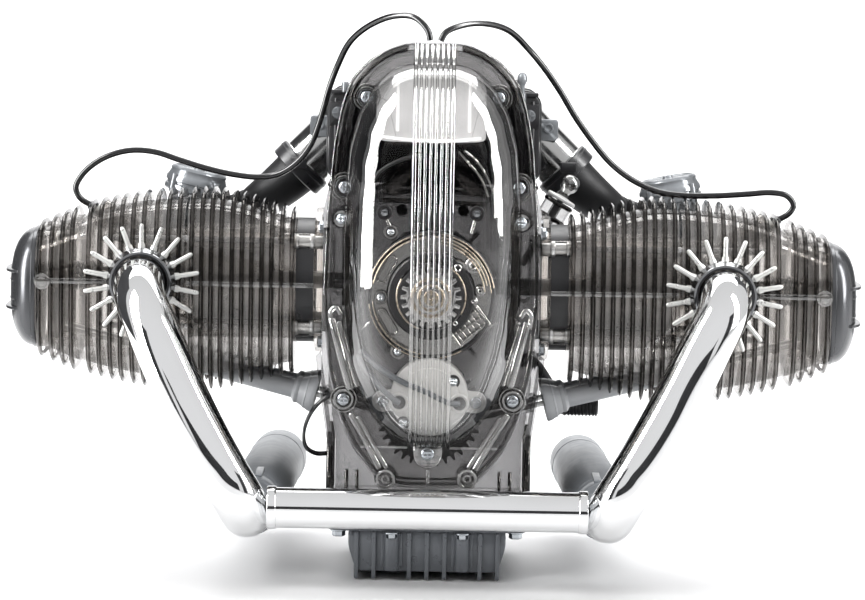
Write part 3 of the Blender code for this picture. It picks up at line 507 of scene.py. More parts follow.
M = {
    "fin": clear("smoked_fins", (0.91, 0.90, 0.89), 0.07, 0.55, 0.05,
                 face=(0.70, 0.68, 0.66), rim=(0.40, 0.385, 0.37)),
    "barrel": clear("smoked_barrel", (0.86, 0.85, 0.84), 0.26, 0.66, 0.10,
                    face=(0.66, 0.645, 0.63), rim=(0.09, 0.088, 0.085),
                    start=0.0, metal=0.55),
    "smoke": clear("smoked_casing", (0.645, 0.643, 0.645), 0.025, 0.85, 0.04,
                   face=(0.6, 0.6, 0.6), rim=(0.07, 0.07, 0.07)),
    "dome": clear("clear_cover", (0.955, 0.95, 0.945), 0.007, 0.80, 0.012,
                  face=(0.85, 0.85, 0.85), rim=(0.25, 0.25, 0.25), start=0.05),
    "rib": clear("clear_ribs", (0.90, 0.895, 0.89), 0.20, 0.94, 0.02, start=0.0,
                 face=(0.95, 0.95, 0.94), rim=(0.10, 0.10, 0.10)),
    "edge": clear("smoked_fin_rims", (0.30, 0.29, 0.285), 0.30, 0.9, 0.05,
                  face=(0.27, 0.26, 0.25), rim=(0.05, 0.048, 0.045)),
    # the pale panel glows: painted light standing in for light coming through it from
    # behind
    "panel": solid("pale_panel_painted_glow", (0.80, 0.80, 0.80), 0.4, vary=0.08,
                   bump=0.03, wear=0.1, painted_glow=1.15),
    "satin": solid("satin_grey_plastic", (0.085, 0.087, 0.092), 0.24, 0.6,
                   vary=0.04, bump=0.01, rough_vary=0.03),
    "grey_clear": clear("grey_translucent", (0.66, 0.68, 0.70), 0.78, 0.96,
                        0.20, face=(0.36, 0.38, 0.40), rim=(0.20, 0.215, 0.23),
                        start=0.0, metal=0.25),
    "grey": solid("grey_plastic", (0.115, 0.13, 0.145), 0.36, vary=0.08,
                  wear=0.35, bump=0.10),
    "pan_grey": solid("pan_grey_plastic", (0.125, 0.134, 0.147), 0.30, 0.25,
                      vary=0.05, bump=0.02, rough_vary=0.04),
    "grey_pale": solid("pale_grey_plastic", (0.235, 0.25, 0.268), 0.40,
                       vary=0.08, wear=0.35, bump=0.08),
    "tube_grey": solid("light_grey_plastic", (0.42, 0.43, 0.445), 0.36,
                       vary=0.08, wear=0.3, bump=0.08),
    "silver": solid("silver_paint", (0.62, 0.62, 0.60), 0.30, 0.55, vary=0.06,
                    wear=0.3, bump=0.10),
    "chrome": solid("chrome_plating", (0.88, 0.885, 0.89), 0.045, 1.0,
                    vary=0.02, bump=0.02, rough_vary=0.03, grain=90.0),
    "dark_chrome": solid("dark_chrome_ring", (0.30, 0.305, 0.315), 0.10, 1.0,
                         vary=0.05, bump=0.02, rough_vary=0.03),
    "zinc": solid("zinc_screws", (0.34, 0.36, 0.38), 0.22, 1.0, vary=0.1,
                  wear=0.4, bump=0.12),
    "steel": solid("turned_steel", (0.55, 0.55, 0.55), 0.24, 1.0, vary=0.1,
                   wear=0.3, bump=0.12),
    "aluminium": solid("satin_aluminium", (0.70, 0.70, 0.69), 0.33, 1.0,
                       vary=0.08, wear=0.25, bump=0.15),
    "brass": solid("turned_brass", (0.47, 0.41, 0.33), 0.28, 1.0, vary=0.12,
                   wear=0.4, bump=0.1),
    "black": solid("black_plastic", (0.018, 0.018, 0.02), 0.35, vary=0.25,
                   wear=0.4, bump=0.1),
    "rubber": solid("black_rubber", (0.008, 0.008, 0.009), 0.50, vary=0.3,
                    wear=0.12, spec=0.3, bump=0.12, grain=320.0),
    "cable": solid("cable_sheath", (0.006, 0.006, 0.007), 0.20, vary=0.2,
                   bump=0.03, rough_vary=0.04, coat=0.4),
    "white": solid("off_white_plastic", (0.70, 0.70, 0.69), 0.38, vary=0.07,
                   wear=0.2, bump=0.08),
    "tube": solid("bright_tube", (0.46, 0.46, 0.455), 0.14, 1.0, vary=0.05,
                  bump=0.04, wear=0.1),
    "ceramic": solid("plug_ceramic", (0.82, 0.81, 0.78), 0.2, vary=0.05,
                     bump=0.03, coat=0.5),
}


def paint(node, key):
    ob = NODES[node]
    if not ob.material_slots:
        ob.data.materials.append(M[key])
    for sl in ob.material_slots:
        sl.material = M[key]


CAD_LOOK = {
    "crankcase": "smoke", "oil_pan": "grey", "timing_cover": "smoke",
    "front_cover": "dome", "alternator_stator": "brass",
    "top_cover": "smoke", "gearbox": "smoke", "air_box": "black",
    "cross_pipe": "chrome", "drive_motor": "white", "crankshaft": "steel",
    "crank_gear": "black", "idler_gear": "black", "camshaft": "steel",
    "cam_gear": "black", "dipstick": "white", "gear_lever": "black",
    "motor_cable": "cable",
}
for tag, _ in SIDES:
    CAD_LOOK.update({
        "intake_tube_" + tag: "silver", "intake_hose_" + tag: "rubber",
        "carburettor_" + tag: "grey_pale", "cylinder_" + tag: "fin",
        "head_" + tag: "fin", "valve_cover_" + tag: "grey",
        "exhaust_nut_" + tag: "silver", "header_pipe_" + tag: "chrome",
        "muffler_" + tag: "grey", "pushrod_tubes_" + tag: "grey",
        "spark_plug_" + tag: "ceramic", "ignition_cable_" + tag: "cable",
        "web_plug_" + tag: "brass", "rod_" + tag: "aluminium",
        "piston_" + tag: "aluminium",
    })
    for word in ("intake_", "exhaust_"):
        CAD_LOOK["rocker_" + word + tag] = "aluminium"
        CAD_LOOK["valve_" + word + tag] = "steel"
        CAD_LOOK["pushrod_" + word + tag] = "aluminium"
for node_name, look in CAD_LOOK.items():
    paint(node_name, look)


# ------------------------------------------------------------------- camera

def make_camera():
    data = bpy.data.cameras.new("camera")
    data.sensor_width = 36.0
    data.lens = 3893.0 / 865.0 * 36.0
    data.clip_start, data.clip_end = 0.05, 50.0
    cam = bpy.data.objects.new("camera", data)
    bpy.context.scene.collection.objects.link(cam)
    turn = (Matrix.Rotation(math.radians(90 - 5.25), 4, "X")
            @ Matrix.Rotation(math.radians(1.0), 4, "Z"))
    cam.matrix_world = Matrix.Translation((0.0006, -1.7, 0.2739)) @ turn
    bpy.context.scene.camera = cam


make_camera()

# -------------------------------------------------------------------- cords

CABLES = {
    "L": ((-2.2, -48.7, 232.4), (-3.2, -48.4, 236.4), (-8.9, -44.9, 242.0),
          (-17.5, -39.1, 242.4), (-28.2, -29.3, 238.1), (-36.9, -19.7, 230.5),
          (-42.1, -12.6, 220.3), (-45.5, -10.0, 211.0), (-47.5, -9.8, 203.6),
          (-50.5, -8.6, 193.1), (-53.9, -7.2, 184.7), (-59.9, -5.1, 177.1),
          (-68.0, -2.6, 171.8), (-76.6, -0.7, 170.4), (-88.1, 2.2, 171.3),
          (-99.7, 5.0, 173.6), (-111.3, 7.2, 176.8), (-122.0, 8.6, 180.0),
          (-131.7, 9.0, 180.7), (-139.6, 9.0, 179.2), (-147.4, 9.0, 175.6),
          (-154.0, 9.0, 169.9), (-157.1, 9.0, 163.8), (-155.2, 9.0, 159.3),
          (-149.9, 9.0, 156.0)),
    "R": ((2.2, -48.7, 232.4), (4.2, -47.9, 236.0), (12.5, -42.2, 239.3),
          (22.0, -34.0, 239.6), (31.5, -24.5, 236.6), (40.9, -13.6, 227.9),
          (47.6, -10.0, 220.0), (54.3, -10.0, 210.6), (61.5, -9.8, 199.0),
          (69.1, -9.7, 188.7), (76.3, -9.5, 180.3), (83.8, -9.3, 174.2),
          (90.4, -9.2, 170.5), (98.3, -9.1, 167.4), (108.4, -9.0, 166.1),
          (122.8, -9.0, 166.2), (136.8, -9.0, 167.2), (147.3, -9.0, 168.0),
          (154.0, -9.0, 166.7), (157.0, -9.0, 162.6), (154.9, -9.0, 158.9),
          (149.9, -9.0, 156.0)),
}
LEAD = ((-40.95, -49.0, 81.0), (-45.0, -49.4, 79.2), (-50.3, -48.9, 73.2),
        (-53.3, -47.0, 65.0), (-52.6, -43.0, 57.6), (-48.4, -38.6, 54.2),
        (-43.4, -36.5, 54.0))


def path_length(pts):
    return sum((b - a).length for a, b in zip(pts, pts[1:]))


def make_cords():
    for tag, _ in SIDES:
        route = smooth_path(CABLES[tag], 1.6)
        b = Build()
        b.tube(route, 1.35, 16)
        ob = b.done("ignition_cable_fine_" + tag, M["cable"],
                    replaces=("ignition_cable_" + tag,))
        pts = [tuple(p * MM) for p in smooth_path(CABLES[tag], 6.0)]
        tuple(pts[0])
        path_length(route) * MM
    route = smooth_path(LEAD, 1.0)
    b = Build()
    side = [Vector((0.0, 0.55, 0.25)), Vector((0.0, -0.55, -0.25))]
    for off in side:
        b.tube([p + off for p in route], 0.75, 12)
    ob = b.done("motor_cable_fine", M["cable"], replaces=("motor_cable",))
    pts = [tuple(p * MM) for p in smooth_path(LEAD, 3.0)]
    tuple(pts[0])
    path_length(route) * MM


make_cords()


# --------------------------------------------------------- floor and lights

def make_stage():
    prof = [(-7.0, -0.0006), (0.0, -0.0006), (3.6, -0.0006)]
    for k in range(1, 25):
        t = math.pi / 2 * k / 24
        prof.append((3.6 + 1.4 * math.sin(t), 1.4 - 1.4 * math.cos(t)))
    prof.append((5.0, 6.0))
    bm = bmesh.new()
    rows = [[bm.verts.new((x, y, z)) for x in (-7.0, -2.5, 2.5, 7.0)]
            for y, z in prof]
    for a, b in zip(rows, rows[1:]):
        for i in range(3):
            bm.faces.new((a[i], a[i + 1], b[i + 1], b[i]))
    mesh = bpy.data.meshes.new("backdrop")
    bm.to_mesh(mesh)
    bm.free()
    mesh.shade_smooth()
    ob = bpy.data.objects.new("backdrop", mesh)
    bpy.context.scene.collection.objects.link(ob)
    mat, nt, bsdf, _ = _nodes("paper_painted_front_shade")
    coord = nt.nodes.new("ShaderNodeTexCoord")
    sep = nt.nodes.new("ShaderNodeSeparateXYZ")
    _link(nt, coord.outputs["Object"], sep.inputs[0])
    # the floor is painted darker towards the camera: painted shade, which also darkens
    # what the chrome and clear parts reflect
    back = _map(nt, sep.outputs["Y"], 0.0, 1.0, -0.28, -0.07)
    mix = nt.nodes.new("ShaderNodeMix")
    mix.data_type = "RGBA"
    _link(nt, back, mix.inputs["Factor"])
    _link(nt, _ramp(nt, _noise(nt, 2.0, 3.0), [(0.3, (0.43, 0.43, 0.435)),
                                              (0.7, (0.47, 0.47, 0.47))]),
          mix.inputs["A"])
    _link(nt, _ramp(nt, _noise(nt, 2.5, 3.0), [(0.3, (0.88, 0.88, 0.885)),
                                              (0.7, (0.92, 0.92, 0.92))]),
          mix.inputs["B"])
    _link(nt, mix.outputs["Result"], bsdf.inputs["Base Color"])
    _link(nt, _map(nt, _noise(nt, 60.0, 4.0), 0.75, 0.95),
          bsdf.inputs["Roughness"])
    mesh.materials.append(mat)

    card_mat, nt, bsdf, _ = _nodes("dark_card")
    _link(nt, _ramp(nt, _noise(nt, 4.0, 3.0), [(0.3, (0.010, 0.010, 0.012)),
                                              (0.7, (0.02, 0.02, 0.022))]),
          bsdf.inputs["Base Color"])
    _link(nt, _map(nt, _noise(nt, 80.0, 4.0), 0.7, 0.95),
          bsdf.inputs["Roughness"])
    cards = [((0.0, -2.2, 0.30), (3.2, 0.60), (0.0, 0.0, 0.30)),
             ((-1.75, -1.2, 0.45), (0.75, 1.3), (0.0, 0.0, 0.12)),
             ((1.75, -1.2, 0.45), (0.5, 1.3), (0.0, 0.0, 0.12)),
             ((-0.62, 0.34, 0.45), (0.80, 0.9), (0.0, -0.08, 0.45)),
             ((0.55, 0.50, 0.45), (0.36, 0.9), (0.0, -0.08, 0.45))]
    for i, (loc, (w, h), aim) in enumerate(cards):
        bm = bmesh.new()
        for sx, sz in ((-1, -1), (1, -1), (1, 1), (-1, 1)):
            bm.verts.new((sx * w / 2, sz * h / 2, 0))
        bm.verts.ensure_lookup_table()
        bm.faces.new(bm.verts)
        mesh = bpy.data.meshes.new("card")
        bm.to_mesh(mesh)
        bm.free()
        mesh.materials.append(card_mat)
        ob = bpy.data.objects.new("card_%d" % i, mesh)
        bpy.context.scene.collection.objects.link(ob)
        look = (Vector(aim) - Vector(loc)).to_track_quat("-Z", "Y")
        ob.matrix_world = Matrix.Translation(loc) @ look.to_matrix().to_4x4()
        ob.visible_camera = ob.visible_shadow = ob.visible_diffuse = False


def make_lights():
    def area(name, loc, aim, w, h, power, color=(1, 1, 1)):
        data = bpy.data.lights.new(name, "AREA")
        data.shape = "RECTANGLE"
        data.size, data.size_y = w, h
        data.energy = power
        data.color = color
        ob = bpy.data.objects.new(name, data)
        bpy.context.scene.collection.objects.link(ob)
        look = (Vector(aim) - Vector(loc)).to_track_quat("-Z", "Y")
        ob.matrix_world = Matrix.Translation(loc) @ look.to_matrix().to_4x4()
        return ob
    soft = [area("key", (-0.95, -1.15, 1.25), (0, 0, 0.13), 0.9, 0.7, 16),
            area("fill", (1.15, -0.95, 0.85), (0, 0, 0.13), 0.8, 0.8, 10),
            area("top", (0.0, 0.15, 1.7), (0, 0.05, 0.1), 1.6, 1.0, 16)]
    strips = [area("strip_left", (-1.15, -0.42, 1.02), (0, -0.06, 1.0),
                   0.46, 2.0, 66),
              area("strip_right", (1.05, -0.30, 1.04), (0, -0.06, 1.02),
                   0.28, 1.85, 38)]
    for ob in soft:
        ob.visible_glossy = False
    for ob in strips:
        ob.visible_diffuse = False
    back = area("back", (0.0, 2.3, 2.9), (0, 3.0, 0.0), 3.6, 2.6, 150)
    for ob in soft + strips + [back]:
        ob.visible_camera = False
    world = bpy.data.worlds.new("studio")
    bpy.context.scene.world = world
    world.use_nodes = True
    nt = world.node_tree
    bg = nt.nodes["Background"]
    coord = nt.nodes.new("ShaderNodeTexCoord")
    sep = nt.nodes.new("ShaderNodeSeparateXYZ")
    nt.links.new(coord.outputs["Generated"], sep.inputs[0])
    ramp = nt.nodes.new("ShaderNodeValToRGB")
    els = ramp.color_ramp.elements
    els[0].position, els[0].color = 0.10, (1.15, 1.15, 1.16, 1)
    els[1].position, els[1].color = 0.72, (1.0, 1.0, 1.0, 1)
    m = nt.nodes.new("ShaderNodeMapRange")
    m.inputs["From Min"].default_value = -1.0
    m.inputs["From Max"].default_value = 1.0
    nt.links.new(sep.outputs["Y"], m.inputs["Value"])
    nt.links.new(m.outputs["Result"], ramp.inputs["Fac"])
    nt.links.new(ramp.outputs["Color"], bg.inputs["Color"])
    bg.inputs["Strength"].default_value = 0.7
    scene = bpy.context.scene
    scene.view_settings.view_transform = "Standard"
    scene.view_settings.look = "None"
    scene.cycles.transparent_max_bounces = 128
    scene.cycles.max_bounces = 10
    scene.cycles.diffuse_bounces = 3
    scene.cycles.glossy_bounces = 5
    scene.cycles.transmission_bounces = 6
    scene.cycles.caustics_reflective = False
    scene.cycles.caustics_refractive = False
    scene.cycles.sample_clamp_indirect = 4.0


make_stage()
make_lights()

# -------------------------------------------------- front cover, front side

FLANGE = ((42, 0), (42, 12), (45, 20), (50.5, 25.5), (58.6, 31.7), (72, 38),
          (92, 43), (123, 46), (157, 44.8), (173, 43.6), (188, 42.3),
          (204, 39.5), (216, 35.5), (224, 28), (229, 19.5), (231.6, 12),
          (231.6, 0))
DOME = ((61, 0), (61, 8), (63.5, 14), (68, 19.5), (75, 25), (82, 28.8),
        (95, 33.5), (110, 36.6), (123, 38), (150, 38), (170, 37.2),
        (188, 35.5), (203, 31.5), (213, 26), (220, 18.5), (223, 10), (223, 0))
DOME_MID = 142.0
FLANGE_PTS = resample(mirrored(FLANGE, step=1.5), 180)
DOME_PTS = resample(mirrored(DOME, step=1.5), 180)
DOME_RAYS = [(math.atan2(z - DOME_MID, x), math.hypot(x, z - DOME_MID))
             for x, z in DOME_PTS]
DOME_RAYS.sort()


def dome_radius(angle):
    a = math.atan2(math.sin(angle), math.cos(angle))
    rays = DOME_RAYS
    ext = [(rays[-1][0] - math.tau, rays[-1][1])] + rays \
        + [(rays[0][0] + math.tau, rays[0][1])]
    for (a0, r0), (a1, r1) in zip(ext, ext[1:]):
        if a0 <= a <= a1:
            return r0 + (r1 - r0) * (a - a0) / max(a1 - a0, 1e-9)
    return rays[0][1]


def dome_y(s):
    """Front surface at the scale s of its outline."""
    s = min(max(s, 0.0), 1.0)
    return -58.6 - 36.4 * max(0.0, 1 - s ** 3.6) ** (1 / 2.7)


def on_dome(x, z, lift=0.0):
    s = math.hypot(x, z - DOME_MID) / dome_radius(math.atan2(z - DOME_MID, x))
    return Vector((x, dome_y(s) - lift, z))


def phillips(b, centre, direction=(0, -1, 0), r=3.0, mat=0):
    """A pan head screw with a cross recess made of four raised quarters."""
    d, u, w = frame_of(direction)
    c = Vector(centre)
    b.turned(c, d, [(r, -0.4), (r, 0.5), (r * 0.9, 1.0), (r * 0.72, 1.25),
                    (r * 0.62, 1.3)], 28, mat=mat)
    for k in range(4):
        t = math.pi / 4 + k * math.pi / 2
        a = u * math.cos(t) + w * math.sin(t)
        p = c + a * r * 0.42 + d * 1.1
        b.turned(p, d, [(r * 0.30, 0), (r * 0.28, 0.55), (r * 0.16, 0.75)], 12,
                 mat=mat)


def make_front_cover():
    b = Build()
    # the dome: outer skin, then back along the inner skin
    rows = []
    svals = [1.0, 0.998, 0.992, 0.983, 0.970, 0.953, 0.93, 0.90, 0.86, 0.81,
             0.75, 0.67, 0.57, 0.45, 0.31, 0.16, 0.04]
    def ring(s, y, shrink=0.0):
        out = []
        for x, z in DOME_PTS:
            r = math.hypot(x, z - DOME_MID)
            k = max(s - shrink / r, 0.01)
            out.append((x * k, y, DOME_MID + (z - DOME_MID) * k))
        return out
    for s in svals:
        rows.append(ring(s, dome_y(s)))
    inner = [ring(s, dome_y(s) + 1.9, 1.7) for s in reversed(svals)]
    inner.append(ring(1.0, -55.4, 1.7))
    b.loft(rows + inner, cap=False, mat=0)
    # flange: a ring around the dome's foot, with a raised rim
    def two(outline, y):
        return [(x, y, z) for x, z in outline]
    inner_foot = [(x * (1 - 1.7 / math.hypot(x, z - DOME_MID)),
                   DOME_MID + (z - DOME_MID) * (1 - 1.7 / math.hypot(x, z - DOME_MID)))
                  for x, z in DOME_PTS]
    align = FLANGE_PTS
    loops = [two(inner_foot, -55.4), two(inset(align, 0.5), -55.4),
             two(align, -55.9), two(align, -58.6),
             two(inset(align, 0.5), -59.2), two(inset(align, 1.6), -59.3),
             two(inset(align, 2.2), -58.7), two(inset(align, 3.0), -58.4),
             two(DOME_PTS, -58.4)]
    b.loft(loops, cap=False, mat=0)
    b.done("front_cover_fine", [M["dome"]], smooth=50,
           replaces=("front_cover",))

    # the band of ribs over the middle of the dome
    b = Build()
    band = [(-7.9, 0.95, 0.35), (-5.6, 0.66, 0.3), (-3.4, 0.66, 0.3),
            (-1.1, 0.66, 0.3), (1.1, 0.66, 0.3), (3.4, 0.66, 0.3),
            (5.6, 0.66, 0.3), (7.9, 0.95, 0.35)]
    for x, r, lift in band:
        path = []
        for z in (62.6, 66.0, 70.0, 76.0, 84.0, 95.0, 108.0, 122.0, 136.0,
                  150.0, 164.0, 177.0, 188.0, 197.0, 205.0, 211.0, 216.0, 219.5):
            q = on_dome(0.0, z, lift)
            q.x = x
            q.y += 0.0016 * x * x
            path.append(q)
        path += [Vector((x, -66.0, 222.6)), Vector((x, -62.0, 226.6)),
                 Vector((x, -60.0, 231.0))]
        b.tube(smooth_path(path, 2.0), r, 10)
    b.done("cover_band", [M["rib"]], smooth=60)

    # bosses, tab, flange bars
    b = Build()
    for x, z, r in ((-28.5, 208.5, 4.6), (27.1, 209.0, 4.6),
                    (-37.2, 170.3, 5.2), (36.4, 171.2, 5.2),
                    (-36.5, 80.2, 4.6), (35.2, 80.6, 4.6)):
        y0 = -58.9
        b.ring((x, y0, z), (0, -1, 0), r, r - 1.5, -1.6, 1.5, 36, 0.4)
        b.ring((x, y0, z), (0, -1, 0), r + 1.2, r + 0.5, -1.6, 0.7, 36, 0.2)
    for x, z in ((-18.2, 46.4), (16.6, 47.0)):
        b.ring((x, -58.9, z), (0, -1, 0), 4.4, 2.9, 0.2, 2.3, 32, 0.4)
        b.ring((x, -58.9, z), (0, -1, 0), 2.0, 0.9, 0.2, 1.6, 24, 0.3)
    # the U-shaped tab round the lowest screw
    tab = [(-6.2, 64.5), (-6.2, 57.8)]
    tab += [(-6.2 * math.cos(t), 57.8 - 6.2 * math.sin(t))
            for t in (math.pi * k / 14 for k in range(1, 14))]
    tab += [(6.2, 57.8), (6.2, 64.5)]
    b.prism([(x - 0.3, z) for x, z in tab], "Y", -59.2, -62.4, 0.6)
    b.block(-0.8, 0.6, -59.0, -61.0, 44.8, 51.0, 0.3)
    # long bars beside the dome's lower half
    for p, q, r in (((-42.0, -59.6, 115.0), (-33.6, -59.6, 84.5), 2.0),
                    ((-38.9, -59.6, 113.5), (-30.6, -59.6, 85.5), 1.3),
                    ((40.9, -59.6, 114.5), (33.9, -59.6, 86.5), 2.0),
                    ((38.0, -59.6, 112.5), (30.9, -59.6, 87.0), 1.3),
                    ((-33.4, -59.6, 74.5), (-20.6, -59.6, 51.0), 1.5),
                    ((-30.4, -59.6, 73.0), (-17.6, -59.6, 51.0), 1.1),
                    ((33.4, -59.6, 75.0), (19.6, -59.6, 51.0), 1.5),
                    ((30.4, -59.6, 73.5), (16.8, -59.6, 51.5), 1.1)):
        b.bar(p, q, r, 16, 0.5)
    for s in (-1, 1):
        b.tube(smooth_path([(s * 41.6, -59.6, 112.0), (s * 42.4, -60.2, 117.5),
                            (s * 40.2, -60.4, 119.4), (s * 38.2, -60.0, 116.6)],
                           0.8), 1.3, 10)
    # the wall between dome and foot, ribs in the lower flange
    for s in (-1, 1):
        b.block(s * 9.0, s * 29.0, -58.9, -59.9, 59.6, 60.6, 0.3)
    b.done("cover_bosses", [M["rib"]], smooth=45)

    b = Build()
    for x, z in ((-28.5, 208.5), (27.1, 209.0), (-37.2, 170.3), (36.4, 171.2),
                 (-36.5, 80.2), (35.2, 80.6)):
        phillips(b, (x, -59.6, z), r=2.7)
    phillips(b, (-0.4, -62.6, 57.9), r=2.9)
    b.done("cover_screws", [M["zinc"]], smooth=35)

    # screws of the timing case behind the cover
    b = Build()
    for x, z in ((-38.2, 157.0), (37.6, 156.6)):
        b.bar((x, -59.2, z), (x, -60.3, z), 3.6, 28, 0.4)
    b.done("flange_pads", [M["rib"]], smooth=40)
    b = Build()
    for x, z in ((-38.2, 157.0), (37.6, 156.6)):
        phillips(b, (x, -60.6, z), r=2.4)
    b.done("flange_screws", [M["zinc"]], smooth=35)


def arc_pts(cx, cz, y, r, a0, a1, n=24):
    return [Vector((cx + r * math.cos(math.radians(a0 + (a1 - a0) * k / n)), y,
                    cz + r * math.sin(math.radians(a0 + (a1 - a0) * k / n))))
            for k in range(n + 1)]


def make_alternator():
    c = Vector((0.0, 0.0, CRANK_Z))
    # black carrier ring with a bright bead, and clear plate round it
    b = Build()
    b.ring((0, -55.4, CRANK_Z), (0, -1, 0), 18.4, 14.6, 0, 8.5, 72, 0.6)
    b.ring((0, -55.3, CRANK_Z), (0, -1, 0), 25.6, 6.4, 0, 0.7, 90, 0.2)
    b.ring((0, -55.4, CRANK_Z), (0, -1, 0), 27.2, 25.9, 0, 7.0, 90, 0.3)
    b.done("alternator_core", [M["black"]], smooth=40,
           replaces=("alternator_stator",))
    b = Build()
    for r, a0, a1, y, w in ((26.6, 8, 82, -63.2, 0.32), (25.3, 4, 88, -63.8, 0.30),
                            (24.0, 12, 80, -64.2, 0.30), (22.7, 6, 84, -64.4, 0.30),
                            (26.6, 98, 172, -63.2, 0.30), (25.0, 96, 168, -63.6, 0.3),
                            (26.4, 188, 262, -63.2, 0.30), (24.8, 186, 262, -63.6, 0.3),
                            (26.4, 278, 300, -63.2, 0.28),
                            (14.6, 150, 250, -64.4, 0.35), (14.6, -30, 60, -64.4, 0.30)):
        b.tube(arc_pts(0, CRANK_Z, y, r, a0, a1), w, 8)
    b.done("alternator_beads", [M["brass"]], smooth=60)

    b = Build()
    # clear plate with slots' raised rims, two armature bars and bosses
    b.ring((0, -55.5, CRANK_Z), (0, -1, 0), 25.7, 18.7, 1.0, 3.0, 90, 0.3)
    for a, r0, n in ((150, 21.8, 1), (212, 21.8, 1)):
        for k in range(n):
            t = math.radians(a)
            cx, cz = r0 * math.cos(t), CRANK_Z + r0 * math.sin(t)
            u = Vector((-math.sin(t), 0, math.cos(t)))
            v = Vector((math.cos(t), 0, math.sin(t)))
            pts = []
            for j in range(24):
                w = math.tau * j / 24
                e = u * (4.2 * math.copysign(1, math.cos(w))) \
                    + (u * math.cos(w) + v * math.sin(w)) * 2.0
                pts.append(Vector((cx, -60.2, cz)) + e)
            b.tube(pts, 0.4, 8, closed=True)
    for x, z, r in ((-20.2, 160.0, 3.0), (18.7, 160.2, 3.0), (-17.5, 151.8, 3.2),
                    (-13.7, 101.2, 3.4), (-21.2, 124.0, 3.0)):
        b.ring((x, -56.0, z), (0, -1, 0), r, r * 0.62, 0, 5.2, 28, 0.3)
    for p, q in (((-19.4, -60.4, 157.2), (-18.0, -60.4, 154.4)),
                 ((18.0, -60.4, 157.4), (16.4, -60.4, 151.6))):
        b.bar(p, q, 0.8, 10, 0.2)
    # wavy parting line and curved ribs in the smoked timing case
    for pts in ([(38, -57.2, 113), (34, -57.2, 116), (31, -57.2, 112.5),
                 (27.5, -57.2, 113.5), (24, -57.2, 110.5)],
                [(-37, -57.2, 110), (-33, -57.2, 112.5), (-29.5, -57.2, 110.5),
                 (-26, -57.2, 113)],
                [(10.5, -56.6, 186), (15.5, -56.6, 180.5), (20.5, -56.6, 174.5),
                 (23.5, -56.6, 167.0)],
                [(13.0, -56.6, 186.5), (18.4, -56.6, 182.0), (23.0, -56.6, 175.0),
                 (25.6, -56.6, 168.5)]):
        b.tube(smooth_path(pts, 1.0), 0.55, 8)
    b.done("alternator_plate", [M["rib"]], smooth=45)

    # brush holder: a slanted box of bars with two bushings
    b = Build()
    t = math.radians(-52)
    u, v = Vector((math.cos(t), 0, math.sin(t))), Vector((-math.sin(t), 0,
                                                         math.cos(t)))
    o = Vector((14.8, -62.0, 113.5))
    def bar2(a0, b0, a1, b1, r=0.45, y=0.0):
        b.bar(o + u * a0 + v * b0 + Vector((0, y, 0)),
              o + u * a1 + v * b1 + Vector((0, y, 0)), r, 8, 0.1)
    for q in (-5.6, -3.2, -0.8, 1.6, 4.0, 6.4):
        bar2(-5.4, q, 5.4, q, 0.4)
    for q in (-5.4, -1.8, 1.8, 5.4):
        bar2(q, -5.6, q, 6.4, 0.5, -0.6)
    bar2(-6.8, -7.4, 6.8, -7.4, 0.6, -0.4)
    bar2(-6.8, 8.2, 6.8, 8.2, 0.6, -0.4)
    b.done("brush_holder", [M["rib"]], smooth=45)
    b = Build()
    for x, z, r in ((11.1, 137.2, 3.4), (17.6, 138.2, 3.6), (20.6, 127.5, 2.2),
                    (10.4, 113.8, 2.0), (17.9, 123.2, 1.8)):
        b.ring((x, -57.0, z), (0, -1, 0), r, r * 0.55, 0, 6.4, 28, 0.4)
        b.ring((x, -57.0, z), (0, -1, 0), r * 0.5, r * 0.28, 0, 7.4, 20, 0.2)
    b.done("alternator_bushes", [M["steel"]], smooth=40)
    b = Build()
    phillips(b, (-21.2, -61.4, 124.0), r=2.0)
    phillips(b, (-17.5, -61.4, 151.8), r=1.7)
    phillips(b, (-13.7, -61.4, 101.2), r=1.9)
    for x, z in ((-20.2, 160.0), (18.7, 160.2)):
        b.bar((x, -60.6, z), (x, -62.2, z), 1.5, 20, 0.3)
    b.done("alternator_screws", [M["zinc"]], smooth=35)
    b = Build()
    for x, z in ((-20.2, 160.0), (18.7, 160.2)):
        b.ring((x, -60.0, z), (0, -1, 0), 3.2, 1.9, 0, 1.6, 28, 0.3)
    # cable arc that crosses the cover's upper part
    b.tube(smooth_path([(-25.2, -57.4, 173.0), (-22.6, -58.0, 177.0),
                        (-16.5, -58.6, 181.0), (-9.0, -59.0, 183.6),
                        (-3.0, -59.0, 184.0)], 0.9), 0.75, 10)
    b.done("cover_cable", [M["black"]], smooth=45)

    # the rotor turns with the crankshaft: hub, teeth and slip rings
    b = Build()
    n = 20
    pts = []
    for k in range(n):
        for f, r in ((-0.30, 10.6), (-0.20, 12.9), (0.20, 12.9), (0.30, 10.6)):
            t = math.tau * (k + f) / n
            pts.append((r * math.cos(t), CRANK_Z + r * math.sin(t)))
    b.prism(pts, "Y", -66.6, -69.4, 0.3)
    b.done("rotor_teeth", [M["steel"]], body="crankshaft", smooth=30)
    b = Build()
    for r0, r1, y in ((8.6, 7.4, -70.6), (5.8, 4.8, -71.2), (3.2, 0.6, -71.8)):
        b.ring((0, -69.0, CRANK_Z), (0, -1, 0), r0, r1, 0, -69.0 - y, 40, 0.2)
    b.done("rotor_rings", [M["brass"]], body="crankshaft", smooth=40)


